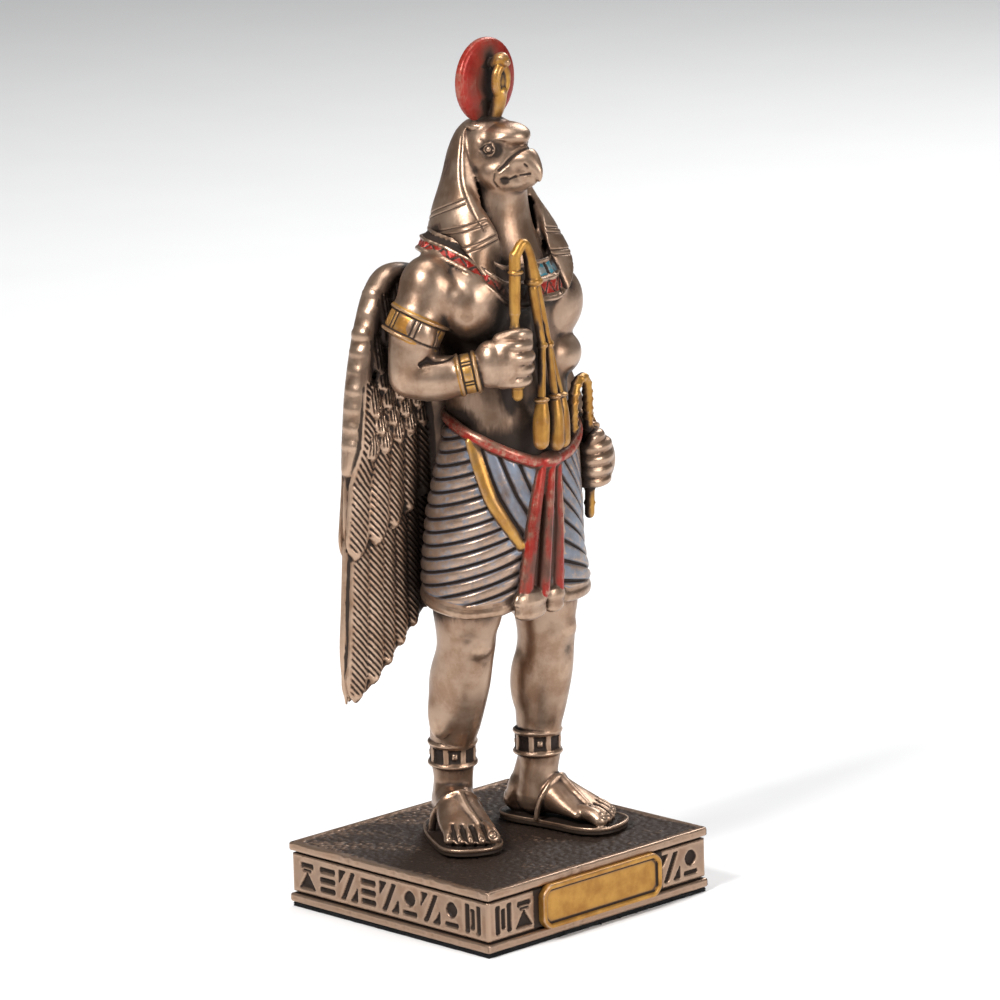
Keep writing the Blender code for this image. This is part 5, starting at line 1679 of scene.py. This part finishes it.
def block_profile(spacing):
    """Rows of inset and height up the side of the block, from its foot to its top edge."""
    lower, upper = PLINTH_FOOT + SLAB, PLINTH_TOP - SLAB
    soft, groove = 0.2, WALL_INSET + SEAM_DEPTH
    rows = [(soft, PLINTH_FOOT), (0.05, PLINTH_FOOT + 0.08), (0, PLINTH_FOOT + soft)]
    rows += [(0, PLINTH_FOOT + share * SLAB) for share in (0.35, 0.5, 0.65, 0.8)]
    rows += [(0.06, lower - 0.04), (0.2, lower), (groove - 0.1, lower + 0.03), (groove, lower + 0.1),
             (groove, lower + SEAM_WIDTH - 0.1), (groove - 0.1, lower + SEAM_WIDTH - 0.02)]
    start, end = lower + SEAM_WIDTH, upper - SEAM_WIDTH
    count = round((end - start) / spacing)
    rows += [(WALL_INSET, start + (end - start) * row / count) for row in range(count + 1)]
    rows += [(groove - 0.1, upper - SEAM_WIDTH + 0.02), (groove, upper - SEAM_WIDTH + 0.1),
             (groove, upper - 0.1), (groove - 0.1, upper - 0.03), (0.2, upper), (0.06, upper + 0.04)]
    rows += [(0, PLINTH_TOP - share * SLAB) for share in (0.8, 0.6, 0.4, 0.25)]
    rows += [(0.03, PLINTH_TOP - 0.1), (0.1, PLINTH_TOP - 0.03)]
    return rows


def rounded(x, y, inset):
    """The places of a square-cornered outline, moved onto one with round corners."""
    half_width, half_depth = HALF_WIDTH - inset, HALF_DEPTH - inset
    over_x = np.clip(np.abs(x) - (half_width - CORNER), 0, None)
    over_y = np.clip(np.abs(y) - (half_depth - CORNER), 0, None)
    at_corner = (over_x > 0) & (over_y > 0)
    reach = np.hypot(over_x, over_y).clip(1e-9)
    round_x = np.sign(x) * (half_width - CORNER + CORNER * over_x / reach)
    round_y = np.sign(y) * (half_depth - CORNER + CORNER * over_y / reach)
    return np.where(at_corner, round_x, x), np.where(at_corner, round_y, y)


def box_outline(along, up, width, height, lean=0.0):
    half, tall = 0.5 * width, 0.5 * height
    return [(along - half - lean, up - tall), (along + half - lean, up - tall),
            (along + half + lean, up + tall), (along - half + lean, up + tall)]


def disc_outline(along, up, radius, sides=16):
    return [(along + radius * cos(2 * pi * step / sides), up + radius * sin(2 * pi * step / sides))
            for step in range(sides)]


def stroke_group(kind, along, tall):
    """The sunk outlines of one cell: strokes, blades, wedges or discs that spell nothing."""
    thick = STROKE
    half = 0.5 * tall
    if kind == 0:
        return [box_outline(along + side * 1.6 * thick, 0, thick, tall if side else 0.7 * tall)
                for side in (-1, 0, 1)]
    if kind == 1:
        near, far, low = 0.9 * thick, 2.7 * thick, 0.06 * tall
        return [box_outline(along, 0, 1.1 * thick, tall, 0.25 * tall),
                [(along - far, low), (along - near, half), (along - far, half)],
                [(along + near, -half), (along + far, -half), (along + far, -low)]]
    if kind == 2:
        return [[(along - 2.2 * thick, -half), (along + 2.2 * thick, -half), (along, 0.1 * tall)],
                box_outline(along, 0.36 * tall, 3.6 * thick, 0.8 * thick),
                box_outline(along, 0.17 * tall, 2.4 * thick, 0.12)]
    if kind == 3:
        return [disc_outline(along, 0.14 * tall, 1.5 * thick),
                box_outline(along, -0.42 * tall, 3.8 * thick, 0.7 * thick)]
    return [box_outline(along, level * tall, 4.2 * thick, 0.8 * thick) for level in (-0.4, -0.02, 0.36)]


def wall_strokes():
    """The sunk outlines of each wall: front, right, back and left."""
    margin = 0.4 + STROKE_MARGIN
    wide, deep = HALF_WIDTH - margin, HALF_DEPTH - margin
    plate = 0.5 * PLATE_LENGTH + STROKE_MARGIN
    tall = PLINTH_TOP - PLINTH_FOOT - 2 * (SLAB + SEAM_WIDTH + STROKE_MARGIN)
    found = {0: [], 1: [], 2: [], 3: []}
    stretches = ((0, -wide, -plate, 3.0), (0, plate, wide, 3.0), (3, -deep, deep, 3.0),
                 (2, -wide, wide, 4.8), (1, -deep, deep, 4.8))
    for number, (wall, start, end, pitch) in enumerate(stretches):
        cells = max(1, round((end - start) / pitch))
        for cell in range(cells):
            kind = (2 * cell + cell // 3 + number) % 5 if pitch < 4 else 4 * (cell % 2)
            found[wall] += stroke_group(kind, start + (end - start) * (cell + 0.5) / cells, tall)
    return found


def inside_outline(along, up, outline):
    """How far each place lies inside an outline that turns left all the way."""
    reach = np.full(along.shape, FAR_OFF)
    for (x, y), (next_x, next_y) in zip(outline, outline[1:] + outline[:1]):
        length = sqrt((next_x - x) ** 2 + (next_y - y) ** 2)
        reach = np.minimum(reach, ((next_x - x) * (up - y) - (next_y - y) * (along - x)) / length)
    return reach


def block_mesh(spacing):
    """The block's points, faces and ink: a grid on top, led down the walls by the profile."""
    count_x = 2 * round(HALF_WIDTH / spacing)
    count_y = 2 * round(HALF_DEPTH / spacing)
    rng = np.random.default_rng(11)
    across = np.linspace(-1, 1, count_x + 1)
    deep = np.linspace(-1, 1, count_y + 1)
    grid_x, grid_y = np.meshgrid(across, deep)
    edge = [(u, -1.0, 0) for u in across[:-1]] + [(1.0, v, 1) for v in deep[:-1]]
    edge += [(u, 1.0, 2) for u in across[:0:-1]] + [(-1.0, v, 3) for v in deep[:0:-1]]
    edge_x, edge_y, wall = (np.array(column) for column in zip(*edge))
    strokes = wall_strokes()
    knots = np.arange(0, len(edge) + WOBBLE_STEP, WOBBLE_STEP)
    uneven = rng.normal(size=len(edge) // WOBBLE_STEP + 2)[:len(knots)]
    wobble = np.interp(np.arange(len(edge)), knots, uneven)
    points, ink = [], []
    for inset, height in block_profile(spacing):
        x, y = rounded(edge_x * (HALF_WIDTH - inset), edge_y * (HALF_DEPTH - inset), inset)
        sunk = np.zeros(len(x))
        along = np.select([wall == 0, wall == 1, wall == 2], [x, y, -x], -y)
        if inset == WALL_INSET:
            for side, outlines in strokes.items():
                mine = wall == side
                level = np.full(mine.sum(), height - PLINTH_MIDDLE)
                for outline in outlines:
                    reach = inside_outline(along[mine], level, outline)
                    sunk[mine] = np.maximum(sunk[mine], np.clip(0.5 + reach / 0.14, 0, 1))
        out_x = np.select([wall == 1, wall == 3], [1.0, -1.0], 0.0)
        out_y = np.select([wall == 2, wall == 0], [1.0, -1.0], 0.0)
        shift = -sunk * STROKE_DEPTH - (np.abs(wobble) * 0.05 if inset < 0.1 else 0.0)
        points.append(np.stack([x + out_x * shift, y + out_y * shift, np.full(len(x), height)], axis=1))
        dark = sunk + (0.9 if inset > WALL_INSET + 0.1 else 0.0)
        beside = (wall == 0) & (np.abs(x) < 0.5 * PLATE_LENGTH + 0.7) & (inset >= WALL_INSET)
        ink.append(np.maximum(dark, beside * 0.75))
    # The top's dark specks, and the painted shadow round the soles, darken the top
    stipple, specks_and_shadow = top_stipple(grid_x * HALF_WIDTH, grid_y * HALF_DEPTH, rng)
    x, y = rounded(grid_x.ravel() * (HALF_WIDTH - 0.2), grid_y.ravel() * (HALF_DEPTH - 0.2), 0.2)
    points.append(np.stack([x, y, PLINTH_TOP + stipple.ravel()], axis=1))
    ink.append(specks_and_shadow.ravel())
    rim = len(edge)
    rows = len(points) - 1
    faces = [(low + side, low + (side + 1) % rim, low + rim + (side + 1) % rim, low + rim + side)
             for low in range(0, (rows - 1) * rim, rim) for side in range(rim)]
    faces.append(tuple(reversed(range(rim))))
    top = rows * rim
    line = count_x + 1
    faces += [(low + side, low + side + 1, low + line + side + 1, low + line + side)
              for low in range(top, top + count_y * line, line) for side in range(count_x)]
    border = [top + side for side in range(count_x)]
    border += [top + row * line + count_x for row in range(count_y)]
    border += [top + count_y * line + side for side in range(count_x, 0, -1)]
    border += [top + row * line for row in range(count_y, 0, -1)]
    low = (rows - 1) * rim
    faces += [(low + side, low + (side + 1) % rim, border[(side + 1) % rim], border[side])
              for side in range(rim)]
    return np.concatenate(points), faces, np.concatenate(ink)


def top_stipple(x, y, rng):
    """How far the top lies below the block's height, and how dark it is: washed dark between the stipple,
    with a painted shadow round the soles and a painted sheen that makes it lighter towards the back.
    """
    seeds = [(u + rng.normal() * 0.2, v + rng.normal() * 0.2, rng.random())
             for u in np.arange(-HALF_WIDTH, HALF_WIDTH, STIPPLE_PITCH)
             for v in np.arange(-HALF_DEPTH, HALF_DEPTH, STIPPLE_PITCH)]
    tree = tree_of([(u, v, 0) for u, v, _ in seeds])
    soles = sole_edges()
    edge_in = np.minimum(HALF_WIDTH - np.abs(x), HALF_DEPTH - np.abs(y))
    height = np.zeros(x.shape)
    dark = np.zeros(x.shape)
    for place in np.ndindex(x.shape):
        spot = (x[place], y[place], 0)
        _, found, away = tree.find(spot)
        bump = max(0.0, 1 - (away / 0.42) ** 2) * (0.35 + 0.65 * seeds[found][2])
        plain = min(1.0, max(0.0, (edge_in[place] - 0.15) / 0.9))
        # A painted shadow of the feet round the soles
        sole_shadow = np.exp(-(soles.find(spot)[2] / 0.9) ** 2)
        height[place] = -0.17 * plain + 0.15 * bump * plain
        dark[place] = plain * (0.74 - 0.3 * bump * bump) + sole_shadow * 0.6
    # Uneven tone, and lighter towards the back: a painted sheen
    broad = 0.12 * np.sin(x * 0.37 + 1.2) * np.sin(y * 0.43 + 0.4) + 0.1 * np.sin(x * 1.1 + y * 0.7)
    broad += 0.12 * np.clip((4.0 - y) / 8.0, -1.5, 1.0)
    return height, np.clip(dark + broad * (dark > 0.1), 0, 1)


def sole_edges():
    """The outlines of both soles on the plinth's top, to find places near them for the painted shadow round
    the feet.
    """
    spots = []
    for side in (NEAR_FOOT, FAR_FOOT):
        foot = Foot(side)
        for share in np.linspace(0.02, 0.98, 40):
            for flank in (-1, 1):
                spot = FIGURE_PLACE @ foot.spot(share, flank * foot.half_width(share, flank), 0)
                spots.append((spot.x, spot.y, 0))
    return tree_of(spots)


def edit(thing):
    """Goes into edit mode on one object with nothing selected."""
    select_only(thing)
    bpy.ops.object.mode_set(mode="EDIT")
    bpy.ops.mesh.select_all(action="DESELECT")
    bpy.ops.mesh.select_mode(type="FACE")
    bpy.ops.object.mode_set(mode="OBJECT")


def plate_object():
    """The nameplate: a bar with bitten corners and a raised border round a bare field."""
    select_only(None)
    bpy.ops.mesh.primitive_cube_add(size=1.0)
    plate = bpy.context.object
    plate.name = "nameplate"
    thick = PLATE_THICKNESS + WALL_INSET
    plate.scale = (PLATE_LENGTH, thick, PLATE_HEIGHT)
    plate.location = (0, -HALF_DEPTH + WALL_INSET - PLATE_THICKNESS + 0.5 * thick, PLINTH_MIDDLE)
    bpy.ops.object.transform_apply(location=True, rotation=True, scale=True)
    mesh = plate.data
    edit(plate)
    for line in mesh.edges:
        ends = [mesh.vertices[end].co for end in line.vertices]
        line.select = abs(ends[0].y - ends[1].y) > 0.5 * thick
    bpy.ops.object.mode_set(mode="EDIT")
    bpy.ops.mesh.select_mode(type="EDGE")
    bpy.ops.mesh.bevel(offset=1.25 * PLATE_NOTCH, segments=6, profile=0.38, affect="EDGES")
    edit(plate)
    for face in mesh.polygons:
        face.select = face.normal.y < -0.9
    bpy.ops.object.mode_set(mode="EDIT")
    bpy.ops.mesh.inset(thickness=PLATE_BORDER, depth=0)
    bpy.ops.mesh.inset(thickness=0.12, depth=-PLATE_RECESS)
    bpy.ops.mesh.inset(thickness=0.1, depth=0)
    bpy.ops.object.mode_set(mode="OBJECT")
    apply_modifier(plate, "BEVEL", width=0.09, segments=3, limit_method="ANGLE",
                   angle_limit=radians(35))
    apply_modifier(plate, "REMESH", mode="VOXEL", voxel_size=0.11)
    apply_modifier(plate, "SMOOTH", factor=0.5, iterations=2)
    return plate


def pad_object():
    """The felt pad: a thin slab whose edge is ragged, with loose fibres."""
    select_only(None)
    bpy.ops.mesh.primitive_cube_add(size=1.0)
    pad = bpy.context.object
    pad.name = "felt"
    size, middle = (PAD_HIGH - PAD_LOW) / MM, 0.5 * (PAD_HIGH + PAD_LOW) / MM
    pad.scale = size
    pad.location = middle
    bpy.ops.object.transform_apply(location=True, rotation=True, scale=True)
    select_only(pad)
    bpy.ops.object.mode_set(mode="EDIT")
    bpy.ops.mesh.select_all(action="SELECT")
    bpy.ops.mesh.subdivide(number_cuts=40)
    bpy.ops.object.mode_set(mode="OBJECT")
    rng = np.random.default_rng(23)
    for vertex in pad.data.vertices:
        x, y, z = vertex.co
        at_edge = max(abs(x) / (0.5 * size.x), abs(y) / (0.5 * size.y)) > 0.98
        if at_edge:
            pull = 1 - 0.007 * rng.random() - 0.003
            vertex.co = (x * pull, y * pull, z if abs(z - middle.z) > 0.19 else z)
    shells = []
    for fibre in range(26):
        along = rng.uniform(-0.35, 0.95) * 0.5 * size.x
        start = Vector((along, -0.5 * size.y + 0.3, 0.2))
        sag = [Vector((rng.normal() * 0.25, -rng.uniform(0.15, 0.42), rng.uniform(-0.12, 0.12)))
               for _ in range(2)]
        route = [start, start + sag[0], start + sag[0] * 0.6 + sag[1] * 0.8]
        route = [(spot.x, max(spot.y, -0.5 * size.y - 0.35), min(0.42, max(0.08, spot.z)))
                 for spot in route]
        shells.append(rod([(*spot, 0.06) for spot in route], sides=6, steps=4, ends=2))
    loose = add_object("loose fibres", *joined(shells))
    select_only(pad)
    loose.select_set(True)
    bpy.ops.object.join()
    pad.data.transform(Matrix.Scale(MM, 4))
    return pad


class FIGURINE_OT_plinth(bpy.types.Operator):
    """Stippled block with sunk strokes and a bare nameplate"""
    bl_idname = "figurine.plinth"
    bl_label = "Plinth"

    def execute(self, context):
        points, faces, ink = block_mesh(0.15)
        cast = Casting("plinth_block", {"bronze": [([tuple(point) for point in points], faces)]}, None)
        cast.ink = ink
        cast.save("shade", 0.2 + 0.25 * ink)
        block = cast.finish(Matrix.Identity(4))
        block.data.materials.append(cast_finish("plinth bronze", {}))
        plate = plate_object()
        cast = Casting.of(plate)
        face = -HALF_DEPTH + WALL_INSET - PLATE_THICKNESS
        x, y, z = cast.spots.T
        edge_x = 0.5 * PLATE_LENGTH - PLATE_BORDER - np.abs(x)
        edge_z = 0.5 * PLATE_HEIGHT - PLATE_BORDER - np.abs(z - PLINTH_MIDDLE)
        foot = np.exp(-((np.minimum(edge_x, edge_z) - 0.12) / 0.16) ** 2) * (y > face + 0.12)
        cast.ink = np.maximum(foot * 0.8, ramp(y - face - 0.7, 0.1) * 0.8)
        cast.masks = {"gold": np.ones(len(x))}
        plate = cast.finish(Matrix.Identity(4))
        plate.data.materials.append(cast_finish("nameplate gold", {"gold": 0.5}))
        select_only(block)
        plate.select_set(True)
        bpy.ops.object.join()
        keep(block, "plinth")
        return {"FINISHED"}


class FIGURINE_OT_pad(bpy.types.Operator):
    """Thin felt pad with a ragged edge"""
    bl_idname = "figurine.pad"
    bl_label = "Felt pad"

    def execute(self, context):
        pad = pad_object()
        felt = Finish("felt")
        fibre = felt.noise(5200.0, 6.0, 0.7)
        felt.bump(fibre, 0.00012, 0.9)
        pad.data.materials.append(felt.finish(
            felt.mix(fibre, (0.006, 0.006, 0.008), (0.035, 0.034, 0.036)), 0.96, 0.0))
        keep(pad, "felt_pad")
        return {"FINISHED"}


# Stage: pale floor, soft lights and the camera

VIEW_AZIMUTH = radians(-44.1)
VIEW_ELEVATION = radians(13.2)
VIEW_ROLL = radians(-1.6)
VIEW_DISTANCE = 0.7
VIEW_TARGET = Vector((0, 0, 0.045))
VIEW_SHIFT = (0.001226, -0.002504)
LENS, SENSOR = 246.6, 36
# Lamps: how far to the camera's right, towards it and up from the middle, their size and power
LAMPS = {"key": (-0.30, 0.35, 0.42, 0.16, 3.6), "fill": (0.42, 0.30, 0.18, 0.22, 1.6),
         "rim": (0.20, -0.40, 0.35, 0.25, 1.6), "top": (-0.05, 0.02, 0.60, 0.35, 1.6)}
SKY = (0.95, 0.97, 1.0, 1.0)
SKY_LIT, SKY_SEEN = 0.16, 0.9


class FIGURINE_OT_stage(bpy.types.Operator):
    """Pale floor, soft studio lights and the camera"""
    bl_idname = "figurine.stage"
    bl_label = "Stage"

    def execute(self, context):
        select_only(None)
        bpy.ops.mesh.primitive_plane_add(size=6.0, location=(0, 0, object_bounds()[0][2]))
        floor = context.object
        floor.name = "floor"
        bpy.ops.object.transform_apply(location=True, rotation=True, scale=True)
        paper = Finish("pale paper")
        fibre = paper.noise(40.0)
        floor.data.materials.append(paper.finish(
            paper.mix(fibre, (0.86, 0.86, 0.86), (0.9, 0.9, 0.9)), 0.9, 0.0))
        floor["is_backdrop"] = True
        back = Vector((sin(VIEW_AZIMUTH) * cos(VIEW_ELEVATION), -cos(VIEW_AZIMUTH) * cos(VIEW_ELEVATION),
                       sin(VIEW_ELEVATION)))
        level = Vector((cos(VIEW_AZIMUTH), sin(VIEW_AZIMUTH), 0))
        upright = back.cross(level)
        right = level * cos(VIEW_ROLL) + upright * sin(VIEW_ROLL)
        up = upright * cos(VIEW_ROLL) - level * sin(VIEW_ROLL)
        pose = Matrix((right, up, back)).transposed().to_4x4()
        pose.translation = (VIEW_TARGET + back * VIEW_DISTANCE + right * VIEW_SHIFT[0]
                            + up * VIEW_SHIFT[1])
        lens = bpy.data.cameras.new("camera")
        lens.lens = LENS
        lens.sensor_width = SENSOR
        camera = bpy.data.objects.new("camera", lens)
        camera.matrix_world = pose
        context.scene.collection.objects.link(camera)
        context.scene.camera = camera
        flat_back = Vector((back.x, back.y, 0)).normalized()
        for name, (aside, ahead, high, size, power) in LAMPS.items():
            light = bpy.data.lights.new(name, "AREA")
            light.size = size
            light.energy = power
            lamp = bpy.data.objects.new(name, light)
            lamp.location = level * aside + flat_back * ahead + Vector((0, 0, high + VIEW_TARGET.z))
            lamp.rotation_euler = (VIEW_TARGET - lamp.location).to_track_quat("-Z", "Y").to_euler()
            context.scene.collection.objects.link(lamp)
        world = bpy.data.worlds.new("studio")
        world.use_nodes = True
        sky = world.node_tree.nodes["Background"]
        sky.inputs["Color"].default_value = SKY
        seen = world.node_tree.nodes.new("ShaderNodeLightPath")
        glow = world.node_tree.nodes.new("ShaderNodeMapRange")
        glow.inputs["To Min"].default_value = SKY_LIT
        glow.inputs["To Max"].default_value = SKY_SEEN
        world.node_tree.links.new(seen.outputs["Is Camera Ray"], glow.inputs["Value"])
        world.node_tree.links.new(glow.outputs["Result"], sky.inputs["Strength"])
        context.scene.world = world
        context.scene.view_settings.view_transform = "Standard"
        return {"FINISHED"}


class FIGURINE_PT_panel(bpy.types.Panel):
    bl_idname = "FIGURINE_PT_panel"
    bl_label = "Figurine"
    bl_space_type = "VIEW_3D"
    bl_region_type = "UI"
    bl_category = "Figurine"

    def draw(self, context):
        for operator in OPERATORS:
            self.layout.operator(operator.bl_idname)
        for name in FigurineColours.__annotations__:
            self.layout.prop(context.scene.figurine_colours, name)


OPERATORS = (FIGURINE_OT_head, FIGURINE_OT_body, FIGURINE_OT_regalia, FIGURINE_OT_kilt,
             FIGURINE_OT_legs, FIGURINE_OT_wings, FIGURINE_OT_shade, FIGURINE_OT_plinth,
             FIGURINE_OT_pad, FIGURINE_OT_stage)
CLASSES = (FigurineColours, *OPERATORS, FIGURINE_PT_panel)


def register():
    for made in CLASSES:
        bpy.utils.register_class(made)
    bpy.types.Scene.figurine_colours = bpy.props.PointerProperty(type=FigurineColours)


def unregister():
    del bpy.types.Scene.figurine_colours
    for made in reversed(CLASSES):
        bpy.utils.unregister_class(made)


def main():
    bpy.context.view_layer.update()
    register()
    bpy.ops.figurine.head()
    bpy.ops.figurine.body()
    bpy.ops.figurine.regalia()
    bpy.ops.figurine.kilt()
    bpy.ops.figurine.legs()
    bpy.ops.figurine.wings()
    bpy.ops.figurine.shade()
    bpy.ops.figurine.plinth()
    bpy.ops.figurine.pad()
    bpy.ops.figurine.stage()


if __name__ == "__main__":
    main()
